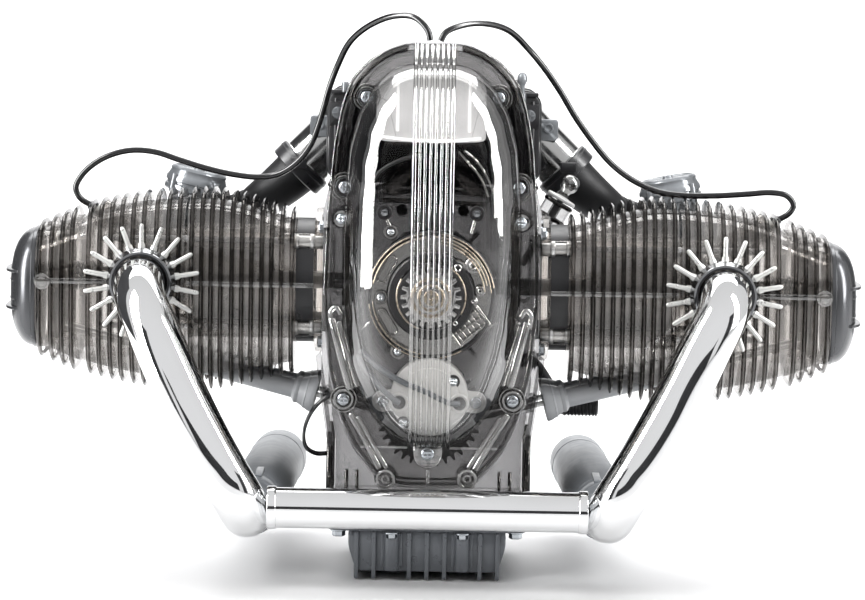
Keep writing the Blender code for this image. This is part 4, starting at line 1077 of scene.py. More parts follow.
def make_motor():
    cz = 82.5
    b = Build()
    b.bar((0, -55.5, cz), (0, -67.6, cz), 16.4, 64, 0.8)
    b.bar((0, -66.8, cz), (0, -68.6, cz), 12.6, 56, 0.5)
    for s in (-1, 1):
        b.bar((s * 19.6, -63.0, cz - 2), (s * 19.6, -66.0, cz - 2), 4.6, 32, 0.5)
        b.prism([(s * 14.0, cz - 6.0), (s * 19.6, cz - 6.4),
                 (s * 19.6, cz + 2.4), (s * 13.0, cz + 3.4)], "Y", -63.2, -65.8,
                0.3)
    # hooded rims round the two wire holes
    for x in (-12.8, 12.6):
        b.ring((x, -67.2, cz - 2.2), (0, -1, 0), 4.2, 2.9, 0, 2.2, 28, 0.4)
    b.done("drive_motor_fine", [M["white"]], smooth=40,
           replaces=("drive_motor",))
    b = Build()
    phillips(b, (-19.6, -66.2, cz - 2), r=2.5)
    phillips(b, (19.6, -66.2, cz - 2), r=2.5)
    phillips(b, (9.9, -68.0, cz + 7.0), r=2.0)
    phillips(b, (-10.9, -68.0, cz - 11.0), r=2.0)
    b.done("motor_screws", [M["zinc"]], smooth=35)
    b = Build()
    for pts in ([(-12.8, -69.0, cz - 2.2), (-15.4, -70.4, cz - 0.4),
                 (-21.0, -69.4, cz + 4.5), (-27.0, -64.4, cz + 11.0),
                 (-31.0, -60.0, cz + 16.5)],
                [(12.6, -69.0, cz - 2.2), (8.0, -71.0, cz - 1.6),
                 (-1.0, -71.4, cz + 2.6), (-12.0, -70.2, cz + 7.0),
                 (-22.0, -66.0, cz + 12.6), (-29.4, -60.4, cz + 18.6)]):
        b.tube(smooth_path(pts, 0.9), 1.25, 12)
    b.done("motor_wires", [M["grey"]], smooth=60)
    b = Build()
    for x in (-12.8, 12.6):
        b.bar((x, -67.4, cz - 2.2), (x, -68.9, cz - 2.2), 2.85, 24, 0.2)
    b.bar((-10.9, -67.0, cz - 11.0), (-10.9, -68.3, cz - 11.0), 2.9, 24, 0.2)
    b.bar((9.9, -67.0, cz + 7.0), (9.9, -68.3, cz + 7.0), 2.9, 24, 0.2)
    b.done("motor_recesses", [M["black"]], smooth=40)


make_front_cover()
make_alternator()
make_motor()


# --------------------------------------------------------- cylinders, heads

def oval(half_y, half_z, cz, power, n=96):
    """A rounded rectangle about (0, cz) as n points."""
    out = []
    for k in range(n):
        t = math.tau * k / n
        c, s = math.cos(t), math.sin(t)
        out.append((half_y * math.copysign(abs(c) ** (2 / power), c),
                    cz + half_z * math.copysign(abs(s) ** (2 / power), s)))
    return out


def fin(b, s, x, outer, inner, thick=3.0, tip=1.1):
    """One fin: faces in material 0, rim in material 1."""
    h, g = thick / 2, tip / 2
    near = inset(outer, 1.3)
    mid = inset(outer, 0.35)
    def put(pts, dx):
        return [at(s, (x + dx, y, z)) for y, z in pts]
    b.loft([put(inner, -h), put(near, -(h + g) / 2)], cap=False, mat=0)
    b.loft([put(near, -(h + g) / 2), put(mid, -g), put(outer, -g * 0.4),
            put(outer, g * 0.4), put(mid, g), put(near, (h + g) / 2)],
           cap=False, mat=1)
    b.loft([put(near, (h + g) / 2), put(inner, h)], cap=False, mat=0)


def tube_notch(pts, x):
    """Room below for the two pushrod tubes."""
    low = line_at(PUSH_A, PUSH_B, x).z + 5.2
    return [(y, max(z, low) if abs(y) < 17.2 and z < FIN_Z else z)
            for y, z in pts]


def ring_wall(b, s, x0, x1, outer, inner, cz=CRANK_Z, n=72, mat=0):
    b.turned(at(s, (x0, 0, cz)), (s, 0, 0),
             [(inner, 0), (outer, 0), (outer, x1 - x0), (inner, x1 - x0)], n,
             cyclic=True, mat=mat)


def make_cylinder(tag, s):
    b = Build()
    ring_wall(b, s, 47.3, 106.6, 26.0, 22.7)
    b.ring(at(s, (47.4, 0, CRANK_Z)), (s, 0, 0), 32.0, 25.8, 0, 3.6, 72, 0.6)
    for x in CYL_FINS:
        half = smooth_table(FIN_HALF, x)
        outer = tube_notch(oval(FIN_DEPTH, half, FIN_Z, 3.2), x)
        inner = []
        for y, z in outer:
            d = Vector((y, z - CRANK_Z))
            d = d.normalized() * min(25.9, max(d.length - 2.5, 4))
            inner.append((d.x, CRANK_Z + d.y))
        fin(b, s, x, outer, inner)
    # moulded barrel between the fins
    rows = []
    for x in (59.6, 64.0, 70.0, 76.0, 82.0, 88.0, 94.0, 100.0, 106.3):
        half = smooth_table(FIN_HALF, x) - 5.4
        rows.append([at(s, (x, y, z)) for y, z in
                     tube_notch(oval(FIN_DEPTH - 4.6, half, FIN_Z, 3.0), x)])
    b.loft(rows, cap=False, mat=3)
    # long clear rib along the front and back, at half height
    for y0, y1 in ((-32.6, -30.6), (30.6, 32.6)):
        b.prism([(s * 51.0, 124.0), (s * 106.4, 124.0), (s * 106.4, 126.2),
                 (s * 51.0, 126.2)], "Y", y0 - CYL_OFFSET * s,
                y1 - CYL_OFFSET * s, 0.3, mat=2)
    # bosses for the long studs
    for y, z in ((-20.5, 143.5), (20.5, 143.5), (-20.5, 105.5), (20.5, 105.5)):
        b.bar(at(s, (51.2, y, z)), at(s, (106.0, y, z)), 3.6, 24, 0.3, mat=0)
    b.done("cylinder_fine_" + tag, [M["fin"], M["edge"], M["rib"],
                                    M["barrel"]], smooth=42,
           replaces=("cylinder_" + tag,))
    b = Build()
    ring_wall(b, s, 51.3, 59.0, 27.4, 26.3)
    b.done("spigot_sleeve_" + tag, [M["black"]], smooth=40)

    # studs with their silver sleeves between crankcase and first fin
    b = Build()
    for y in (-20.5, 20.5):
        for z in (143.0, 106.0):
            b.bar(at(s, (47.0, y, z)), at(s, (60.2, y, z)), 2.9, 28, 0.5)
            b.bar(at(s, (50.9, y, z)), at(s, (53.0, y, z)), 3.7, 28, 0.4)
            b.bar(at(s, (57.8, y, z)), at(s, (59.4, y, z)), 3.4, 28, 0.4)
    b.done("stud_sleeves_" + tag, [M["aluminium"]], smooth=40)
    b = Build()
    for y, z in ((-20.5, 143.5), (20.5, 143.5), (-20.5, 105.5), (20.5, 105.5)):
        b.bar(at(s, (60.4, y, z)), at(s, (144.0, y, z)), 1.5, 16, 0.3)
    b.done("studs_" + tag, [M["steel"]], smooth=40)


def make_head(tag, s):
    b = Build()
    core = (25.5, 29.0, 119.5, 3.6)
    for x in HEAD_FINS:
        half = smooth_table(FIN_HALF, x)
        depth = FIN_DEPTH if x < 150 else FIN_DEPTH - (x - 150) * 0.12
        fin(b, s, x, oval(depth, half, FIN_Z - (0.5 if x > 150 else 0), 3.2),
            oval(*core))
    # moulded barrel between the fins
    rows = []
    for x in (107.4, 114.0, 121.0, 128.0, 135.0, 142.0, 149.0, 155.0, 161.0,
              166.0, 170.6):
        half = smooth_table(FIN_HALF, x) - 5.0
        depth = (FIN_DEPTH if x < 150 else FIN_DEPTH - (x - 150) * 0.12) - 4.4
        rows.append([at(s, (x, y, z)) for y, z in
                     oval(depth, half, FIN_Z - (0.5 if x > 150 else 0), 3.0)])
    b.loft(rows, cap=False, mat=3)
    # core walls: a closed skin from the gasket face to the rocker box
    def sect(x, hy, hz, cz=119.5, p=3.6):
        return [at(s, (x, y, z)) for y, z in oval(hy, hz, cz, p)]
    b.loft([sect(107.2, 25.6, 29.2), sect(143.0, 25.6, 29.2),
            sect(147.0, 27.0, 27.0, 121.2), sect(171.4, 28.6, 26.4, 120.6),
            sect(171.4, 26.2, 24.0, 120.6), sect(150.0, 25.0, 24.0, 121.2),
            sect(150.0, 2.0, 2.0, 121.2)], cap=True, mat=0)
    # combustion chamber
    b.turned(at(s, (107.4, 0, CRANK_Z)), (s, 0, 0),
             [(22.6, 0), (21.6, 4.0), (18.6, 7.6), (13.0, 10.4), (6.0, 11.8),
              (0.2, 12.1)], 48, mat=0)
    # ports: exhaust to the front, intake to the back
    for path, r in (([(112.5, -8.0, 125.0), (117.5, -16.0, 125.6),
                      (123.5, -25.0, 126.0), (125.0, -33.6, 126.0)], 9.6),
                    ([(112.5, 8.0, 125.0), (116.0, 17.0, 125.2),
                      (117.0, 26.0, 125.0), (117.0, 33.8, 125.0)], 8.4)):
        b.tube(smooth_path([at(s, p) for p in path], 1.6), r, 28, mat=0,
               taper=lambda f: 0.78 + 0.22 * min(1.0, f * 2.0))
    b.ring(at(s, (125.0, -33.9, 126.0)), (0, 1, 0), 13.0, 9.8, 0, 9.0, 48, 0.5,
           mat=0)
    b.ring(at(s, (117.0, 34.1, 125.0)), (0, -1, 0), 10.5, 8.6, 0, 8.0, 40, 0.5,
           mat=0)
    # valve guides and the spark plug well
    for m in (-1, 1):
        p, q = line_at(VALVE_A, VALVE_B, 124, m), line_at(VALVE_A, VALVE_B, 149, m)
        b.bar(at(s, p), at(s, q), 2.7, 20, 0.4, mat=1)
    d = (PLUG_B - PLUG_A).normalized()
    b.turned(at(s, PLUG_A + d * 12), Vector((s * d.x, 0, d.z)),
             [(6.2, 0), (6.2, 26.0), (5.7, 26.4), (5.4, 26.0), (5.4, 0)], 32,
             cyclic=True, mat=0)
    # the long horizontal rib with its bolt boss
    for m in (-1, 1):
        y1 = m * 33.4 - CYL_OFFSET * s
        y0 = m * 31.0 - CYL_OFFSET * s
        b.prism([(s * 139.5 if m < 0 else s * 108.0, 124.2), (s * 171.0, 124.2),
                 (s * 171.0, 126.6), (s * 139.5 if m < 0 else s * 108.0, 126.6)],
                "Y", y0, y1, 0.3, mat=2)
        b.bar(at(s, (168.2, m * 30.5, 125.2)), at(s, (168.2, m * 35.4, 125.2)),
              3.6, 32, 0.6, mat=2)
        b.bar(at(s, (168.2, m * 35.0, 125.2)), at(s, (168.2, m * 36.6, 125.2)),
              2.4, 6, 0.3, mat=2)
    b.done("head_fine_" + tag, [M["fin"], M["edge"], M["rib"], M["barrel"]],
           smooth=42,
           replaces=("head_" + tag,))

    # rocker posts and spindle
    b = Build()
    for m in (-1, 1):
        b.bar(at(s, (163, m * 14, 98.6)), at(s, (163, m * 14, 145.4)), 1.5, 20,
              0.2)
    b.done("rocker_spindles_" + tag, [M["steel"]], smooth=40)


def cover_bulge(y):
    return max(0.0, 1 - abs(y / 28.6) ** 2.5) ** (1 / 2.5)


def make_valve_cover(tag, s):
    b = Build()
    def sect(x, k, cz=120.3, p=2.7):
        return [at(s, (x, y, z)) for y, z in oval(29.6 * k, 26.4 * k, cz, p, 120)]
    rows = [sect(171.9, 1.0), sect(172.3, 1.01), sect(173.6, 1.01),
            sect(174.0, 0.985)]
    for k in range(1, 17):
        t = math.pi / 2 * k / 16
        rows.append(sect(174.0 + 10.6 * math.sin(t),
                         max(0.985 * math.cos(t) ** 0.72, 0.02)))
    b.loft(rows)
    # horizontal fins that follow the bulge
    for z in (112.2, 116.2, 124.2, 128.4):
        tall = 2.1 if z in (112.2, 128.4) else 0.2
        pts = []
        for k in range(49):
            y = -24.5 + 49.0 * k / 48
            pts.append((s * (173.2 + (11.6 + tall * 0.95) * cover_bulge(y * 1.02)),
                        y - CYL_OFFSET * s))
        pts += [(s * 172.4, 24.5 - CYL_OFFSET * s),
                (s * 172.4, -24.5 - CYL_OFFSET * s)]
        w = 0.65 if tall > 1 else 0.4
        b.prism(pts, "Z", z - w, z + w, 0.25)
    b.done("valve_cover_fine_" + tag, [M["satin"]], smooth=40,
           replaces=("valve_cover_" + tag,))


# ------------------------------------------------------------ exhaust parts

def make_nut(tag, s):
    c = at(s, (EXHAUST[0], 0, EXHAUST[1]))
    f = Vector((0, -1, 0))
    b = Build()
    b.turned(c + Vector((0, -34.6, 0)), f,
             [(12.2, 0), (14.5, 0), (14.8, 0.6), (14.8, 5.6), (14.2, 6.4),
              (13.8, 9.2), (13.4, 10.0), (12.5, 10.0), (12.2, 9.4)], 72,
             cyclic=True, mat=1)
    for k in range(18):
        t = math.radians(90 + 20 * k)
        d = Vector((math.cos(t), 0, math.sin(t)))
        tip = 25.2
        p = c + d * 13.4 + Vector((0, -38.2, 0))
        q = c + d * tip + Vector((0, -38.9, 0))
        b.turned(p, q - p, [(1.25, 0), (1.1, 3.0), (1.0, (q - p).length - 1.2),
                            (0.8, (q - p).length - 0.4),
                            (0.5, (q - p).length)], 14)
        w = Vector((-math.sin(t), 0, math.cos(t)))
        # web that ties the spoke to the ring
        for sgn in (-1, 1):
            b.bar(p + w * sgn * 0.9 - d * 0.5, p + d * 3.2 + w * sgn * 0.5, 0.9,
                  10, 0.2)
    b.done("exhaust_nut_fine_" + tag, [M["silver"], M["dark_chrome"]], smooth=45,
           replaces=("exhaust_nut_" + tag,))
    b = Build()
    for k in range(7):
        b.ring(c + Vector((0, -36.0 - k * 1.25, 0)), f, 12.9, 11.5, 0, 0.7, 60,
               0.2)
    b.ring(c + Vector((0, -34.8, 0)), f, 12.9, 12.3, 0, 9.4, 60, 0.0)
    b.done("nut_thread_" + tag, [M["black"]], smooth=40)


HEADERS = {
    "L": ((-125.0, -25.5, 126.0), (-125.0, -32.5, 126.0), (-125.0, -40.5, 125.9),
          (-123.6, -53.0, 121.6), (-117.0, -65.0, 108.6), (-103.0, -75.0, 80.6),
          (-86.8, -82.0, 52.1), (-80.4, -81.5, 41.5), (-77.0, -75.0, 34.4),
          (-76.3, -64.0, 32.6), (-76.0, -52.2, 32.5)),
    "R": ((125.0, -43.5, 126.0), (125.0, -50.5, 126.0), (125.0, -58.5, 125.9),
          (122.8, -67.0, 119.4), (115.8, -72.5, 106.0), (103.0, -77.0, 80.6),
          (86.8, -82.0, 52.1), (80.4, -81.5, 41.5), (77.0, -75.0, 34.4),
          (76.3, -64.0, 32.6), (76.0, -52.2, 32.5)),
}


def make_exhaust(tag, s):
    b = Build()
    b.tube(smooth_path(HEADERS[tag], 1.8), 11.0, 56)
    b.done("header_pipe_fine_" + tag, [M["chrome"]], smooth=60,
           replaces=("header_pipe_" + tag,))
    b = Build()
    a, e = Vector((s * 76.0, -51.0, 32.5)), Vector((s * 69.0, 115.0, 33.7))
    d = e - a
    n = d.length
    b.turned(a, d, [(11.2, 0.0), (12.4, 0.6), (12.8, 2.2), (12.8, 9.4),
                    (12.5, 9.8), (12.5, 10.4), (12.8, 10.8), (12.8, n - 30),
                    (12.8, n - 12), (11.6, n - 4), (9.0, n - 0.6),
                    (7.4, n - 0.6), (7.2, n - 6.0), (0.5, n - 6.0)], 56)
    for k in (0, 1):
        b.ring(a + d.normalized() * (14 + k * 122), d, 12.98, 12.5, 0, 0.9, 56,
               0.3)
    for side in (-1, 1):
        q = a + d.normalized() * 3.0
        b.block(q.x + side * 3.2 - 1.6, q.x + side * 3.2 + 1.6, q.y, q.y + 26,
                q.z + 12.0, q.z + 13.2, 0.4)
    b.done("muffler_fine_" + tag, [M["grey_pale"]], smooth=40,
           replaces=("muffler_" + tag,))


def make_cross_pipe():
    b = Build()
    b.bar((-66.2, -80.5, 36.5), (66.2, -80.5, 36.5), 8.5, 64, 0.3)
    for s in (-1, 1):
        b.bar((s * 63.4, -80.5, 36.5), (s * 67.4, -80.5, 36.5), 9.1, 64, 0.5)
    b.done("cross_pipe_fine", [M["chrome"]], smooth=50,
           replaces=("cross_pipe",))


def make_push_tubes(tag, s):
    b = Build()
    for m in (-1, 1):
        p = line_at(PUSH_A, PUSH_B, 49.6, m)
        q = line_at(PUSH_A, PUSH_B, 105.4, m)
        n = (q - p).length
        d = at(s, q) - at(s, p)
        b.turned(at(s, p), d,
                 [(3.4, 0), (8.0, 0), (8.2, 0.6), (7.9, 2.4), (6.2, 6.4),
                  (5.7, 7.6), (5.9, 8.0), (5.9, 9.2), (5.5, 9.6), (4.2, 10.6),
                  (4.1, n - 8.0), (4.9, n - 7.4), (4.9, n - 5.6), (4.2, n - 5.0),
                  (4.2, n), (3.4, n)], 40, cyclic=True)
        b.turned(at(s, p), d, [(6.9, 3.9), (7.35, 4.3), (7.1, 4.9),
                               (6.6, 5.1)], 40, cyclic=True)
    c = line_at(PUSH_A, PUSH_B, 51.8, 0)
    b.block(min(s * 51.0, s * 52.8), max(s * 51.0, s * 52.8),
            -CYL_OFFSET * s - 13.0, -CYL_OFFSET * s + 13.0, c.z - 3.5, c.z + 3.5,
            0.5)
    b.done("pushrod_tubes_fine_" + tag, [M["tube_grey"]], smooth=42,
           replaces=("pushrod_tubes_" + tag,))


for tag, s in SIDES:
    make_cylinder(tag, s)
    make_head(tag, s)
    make_valve_cover(tag, s)
    make_nut(tag, s)
    make_exhaust(tag, s)
    make_push_tubes(tag, s)
make_cross_pipe()


# ------------------------------------------------------------ casing, pan

CASE = ((24.3, 43), (60, 43), (85, 46.5), (160, 46.5), (190, 40), (196, 37.5))


def hex_head(b, c, d, r=3.4, h=2.4, mat=0):
    c = Vector(c)
    d = Vector(d).normalized()
    b.turned(c, d, [(r * 1.22, 0), (r * 1.22, 0.5), (r * 1.1, 0.7)], 28, mat=mat)
    b.turned(c + d * 0.6, d, [(r, 0), (r, h - 0.5), (r * 0.82, h)], 6, mat=mat)


def make_timing_cover():
    b = Build()
    def two(outline, y):
        return [(x, y, z) for x, z in outline]
    pts = FLANGE_PTS
    b.loft([two(pts, -42.5), two(pts, -44.6), two(inset(pts, 1.4), -45.2),
            two(inset(pts, 1.0), -52.6), two(pts, -53.2), two(pts, -54.8),
            two(inset(pts, 0.4), -55.1), two(inset(pts, 3.4), -55.1),
            two(inset(pts, 4.2), -54.2), two(inset(pts, 5.2), -53.0),
            two(inset(pts, 6.0), -52.6)], cap=False)
    b.loft([two(inset(pts, 6.0), -52.6), two(inset(pts, 18.0), -52.2)],
           cap=False)
    b.loft([two(inset(pts, 3.0), -42.5), two(inset(pts, 3.0), -50.4),
            two(inset(pts, 6.0), -51.2), two(inset(pts, 18.0), -51.0)],
           cap=False)
    b.loft([two(pts, -42.5), two(inset(pts, 3.0), -42.5)], cap=False)
    # front plate with a window for the nose of the crankshaft
    b.loft([two(inset(pts, 18.0), -52.2),
            two([(9.0 * math.cos(t), 125 + 9.0 * math.sin(t)) for t in
                 (math.atan2(z - 125, x) for x, z in inset(pts, 18.0))], -52.2)],
           cap=False)
    for x, z in ((-28.5, 208.5), (27.1, 209.0), (-37.2, 170.3), (36.4, 171.2),
                 (-38.2, 157.0), (37.6, 156.6), (-36.5, 80.2), (35.2, 80.6),
                 (-18.2, 46.4), (16.6, 47.0)):
        b.ring((x, -43.0, z), (0, -1, 0), 4.8, 3.2, 0, 11.8, 32, 0.4)
    # ring (upper right) and ribs seen through the cover
    b.ring((34.0, -52.8, 193.1), (0, -1, 0), 2.6, 1.5, 0, 1.8, 28, 0.3)
    b.bar((28.5, -53.2, 202.0), (33.0, -53.2, 195.4), 0.8, 10, 0.2)
    for z0, z1, x in ((128, 150, -41.5), (128, 150, 41.5)):
        b.block(x - 0.6, x + 0.6, -54.6, -56.0, z0, z1, 0.3)
    for x, z in ((-38.8, 127.4), (39.2, 125.6)):
        b.ring((x, -53.4, z), (0, -1, 0), 3.4, 2.0, 0, 2.6, 32, 0.4)
        b.bar((x + (4 if x < 0 else -4), -54.4, z), (x + (9 if x < 0 else -9),
              -54.4, z - 0.4), 0.6, 8, 0.2)
    b.done("timing_cover_fine", [M["smoke"], M["edge"]], smooth=45,
           replaces=("timing_cover",))
    # pale inner panel behind the upper half of the cover; its material glows, painted
    # light for the light that comes through it from behind
    b = Build()
    out = [(-24.5, 190.5), (-20.0, 189.6), (0.0, 189.2), (19.0, 189.8),
           (22.0, 190.6), (22.0, 214.0), (16.0, 221.0), (0.0, 223.4),
           (-17.0, 221.0), (-24.5, 213.0)]
    b.prism(round_corners(out, 4.0, 5), "Y", -51.6, -50.4, 0.3)
    for x in (-15.5, 15.0):
        b.bar((x, -51.8, 194.0), (x, -51.8, 218.0), 0.7, 10, 0.2)
    b.tube(smooth_path([(-22.5, -51.9, 191.6), (-8.0, -52.0, 190.2),
                        (8.0, -52.0, 190.2), (20.0, -51.9, 191.4)], 1.0), 0.7, 8)
    b.done("inner_panel", [M["panel"]], smooth=45)
    # dark struts in a V below the panel
    b = Build()
    for s in (-1, 1):
        b.prism([(s * 2.0, 186.0), (s * 9.0, 187.0), (s * 22.0, 168.0),
                 (s * 15.5, 166.0)], "Y", -51.4, -50.0, 0.4)
    b.bar((-23.0, -50.8, 164.6), (23.0, -50.8, 163.4), 1.0, 12, 0.2)
    b.bar((-21.0, -50.8, 188.4), (21.0, -50.8, 188.6), 0.7, 12, 0.2)
    b.done("timing_struts", [M["edge"]], smooth=45)


def make_crankcase_details():
    b = Build()
    for s in (-1, 1):
        # cylinder base pads with raised rims
        c = at(s, (46.7, 0, CRANK_Z))
        b.ring(c, (s, 0, 0), 30.5, 27.6, -0.1, 0.5, 72, 0.2, mat=1)
        # rounded corner ribs of the lower box
        for x, r in ((42.4, 1.3), (35.0, 0.8), (30.5, 0.7)):
            b.bar((s * x, -43.0, 26.0), (s * x, -43.0, 58.0 if x > 40 else 48.0),
                  r, 14, 0.3, mat=1)
        b.bar((s * 42.6, -42.6, 25.2), (s * 42.6, 59.6, 25.2), 1.0, 12, 0.3,
              mat=1)
        # gusset beside the lower flange
        b.prism([(s * 43.2, 58.0), (s * 49.0, 97.0), (s * 46.8, 99.0),
                 (s * 40.8, 60.0)], "Y", -46.8, -43.2, 0.4, mat=0)
        # ribs along the side wall
        for y in (-26, 12, 44, 56):
            b.bar((s * 43.4, y, 27.0), (s * 43.4, y, 62.0), 0.9, 12, 0.3, mat=1)
        for z in (170.0, 178.0, 186.0):
            b.bar((s * lerp_table(CASE, z), -40.0, z),
                  (s * lerp_table(CASE, z), 58.0, z), 0.8, 12, 0.3, mat=1)
    b.bar((-42.4, -43.0, 26.0), (42.4, -43.0, 26.0), 1.2, 14, 0.3, mat=1)
    b.bar((-42.0, -43.0, 31.5), (42.0, -43.0, 31.5), 0.6, 12, 0.2, mat=1)
    # filler neck lip
    top = Vector((56.5, 32.0, 159.7))
    aim = (top - Vector((42.0, 32.0, 134.2))).normalized()
    b.ring(top - aim * 1.8, aim, 7.1, 6.3, 0, 1.5, 40, 0.3, mat=1)
    b.ring(top - aim * 9.0, aim, 7.0, 6.4, 0, 1.6, 40, 0.3, mat=1)
    b.done("crankcase_ribs", [M["smoke"], M["edge"]], smooth=42)
    b = Build()
    for s in (-1, 1):
        for y in (-31.0, 31.0):
            for z in (100.0, 150.0):
                hex_head(b, at(s, (46.7, y * 0.76, z)), (s, 0, 0), 2.6, 2.0)
        for y in (-34, 0, 34, 54):
            hex_head(b, (s * 38.2, y, 20.8), (0, 0, -1), 2.9, 2.4)
    for x in (-15.2, 15.2):
        hex_head(b, (x, -40.6, 20.8), (0, 0, -1), 2.7, 2.2)
    b.done("case_bolts", [M["zinc"]], smooth=35)


def make_oil_pan():
    b = Build()
    out = round_corners([(-30.5, 3.2), (30.5, 3.2), (34.0, 14.0), (34.0, 22.0),
                         (-34.0, 22.0), (-34.0, 14.0)], 3.0, 5)
    b.prism(out, "Y", -38.0, 56.0, 1.2)
    for x in (-30.4, -22.9, -7.6, 0.0, 7.6, 22.9, 30.4):
        rib = round_corners([(-40.0, 1.0), (-38.6, 0.0), (56.6, 0.0),
                             (58.0, 1.0), (58.0, 21.0), (-40.0, 21.0)], 1.6, 4)
        b.prism(rib, "X", x - 0.95, x + 0.95, 0.45)
    for x in (-15.2, 15.2):
        b.turned((x, -38.6, 4.0), (0, 0, 1), [(3.2, 0), (3.5, 0.8), (3.5, 17.0)],
                 32)
        b.block(x - 4.6, x - 3.0, -39.4, -36.0, 6.0, 20.0, 0.3)
        b.block(x + 3.0, x + 4.6, -39.4, -36.0, 6.0, 20.0, 0.3)
    b.prism(round_corners([(-40, -40), (40, -40), (40, 58), (-40, 58)], 3.5, 6),
            "Z", 21.0, 23.9, 0.5)
    for s in (-1, 1):
        for y in (-34, 0, 34, 54):
            b.turned((s * 38.2, y, 20.9), (0, 0, 1), [(4.4, 0), (4.6, 0.4),
                                                     (4.6, 2.9)], 28)
    b.done("oil_pan_fine", [M["pan_grey"]], smooth=40,
           replaces=("oil_pan",))


def make_rear():
    # rounded top cover with cooling louvres
    b = Build()
    table = ((196.3, 37.3), (204.0, 36.2), (212.0, 34.0), (217.5, 30.0),
             (221.0, 26.0), (224.5, 21.2), (226.5, 18), (227.8, 14.0),
             (228.4, 9.0), (228.6, 0.0))
    rows = [(z, w) for z, w in table]
    arch = [(w, z) for z, w in rows] + [(-w, z) for z, w in reversed(rows[:-1])]
    def put(y, k=1.0, dz=0.0):
        return [(x * k, y, 196.3 + (z - 196.3) * k + dz) for x, z in arch]
    b.loft([put(-41.9, 0.97), put(-41.4), put(56.0), put(59.0, 0.985),
            put(59.9, 0.95), put(57.6, 0.90), put(56.2, 0.93), put(-39.6, 0.93),
            put(-39.6, 0.9)], cap=True)
    for y in range(-30, 50, 9):
        for s in (-1, 1):
            p = [(s * 35.9, y, 205.0), (s * 33.6, y, 212.4),
                 (s * 27.6, y, 219.4), (s * 20.4, y, 225.2), (s * 12.0, y, 228.2)]
            b.tube(smooth_path(p, 1.6), 0.9, 10, mat=1)
    b.done("top_cover_fine", [M["smoke"], M["edge"]], smooth=45,
           replaces=("top_cover",))

    b = Build()
    gtab = ((60.0, 26.0), (66.0, 34.0), (84.0, 40.0), (140.0, 40.0),
            (158.0, 32.0), (165.0, 22.0))
    base = resample(mirrored(gtab, step=2.0), 120)
    def ring(k, y):
        return [(x * k, y, 112 + (z - 112) * k) for x, z in base]
    b.loft([ring(0.93, 60.4), ring(1.0, 60.4), ring(1.0, 64.0), ring(0.985, 65.0),
            ring(0.985, 92.0), ring(0.95, 102.0), ring(0.88, 110.0),
            ring(0.78, 115.2), ring(0.66, 117.6), ring(0.5, 118.0),
            ring(0.48, 115.4), ring(0.64, 115.0), ring(0.76, 112.6),
            ring(0.85, 107.8), ring(0.92, 99.0), ring(0.945, 90.0),
            ring(0.945, 64.0)], cap=False, cyclic=True)
    b.loft([ring(0.5, 117.8), ring(0.5, 116.0)])
    for k in range(10):
        t = math.tau * k / 10 + 0.3
        d = Vector((math.cos(t), 0, math.sin(t)))
        b.bar(Vector((0, 115.6, 112)) + d * 17, Vector((0, 100.0, 112)) + d * 35,
              1.1, 10, 0.3, mat=1)
    for y in (70, 78, 86):
        b.tube([Vector(p) for p in ring(0.992, y)], 0.8, 8, closed=True, mat=1)
    b.ring((0, 117.2, 112), (0, 1, 0), 13.5, 10.0, 0, 1.6, 60, 0.4, mat=1)
    b.done("gearbox_fine", [M["smoke"], M["edge"]], smooth=45,
           replaces=("gearbox",))
    b = Build()
    for k in range(8):
        t = math.tau * (k + 0.5) / 8
        x, z = 36.5 * math.cos(t), 112 + 44.0 * math.sin(t)
        b.bar((x, 62.0, z), (x, 67.6, z), 2.6, 24, 0.4)
    hex_head(b, (0, 118.0, 112), (0, 1, 0), 5.0, 0.8)
    b.done("gearbox_bolts", [M["zinc"]], smooth=35)


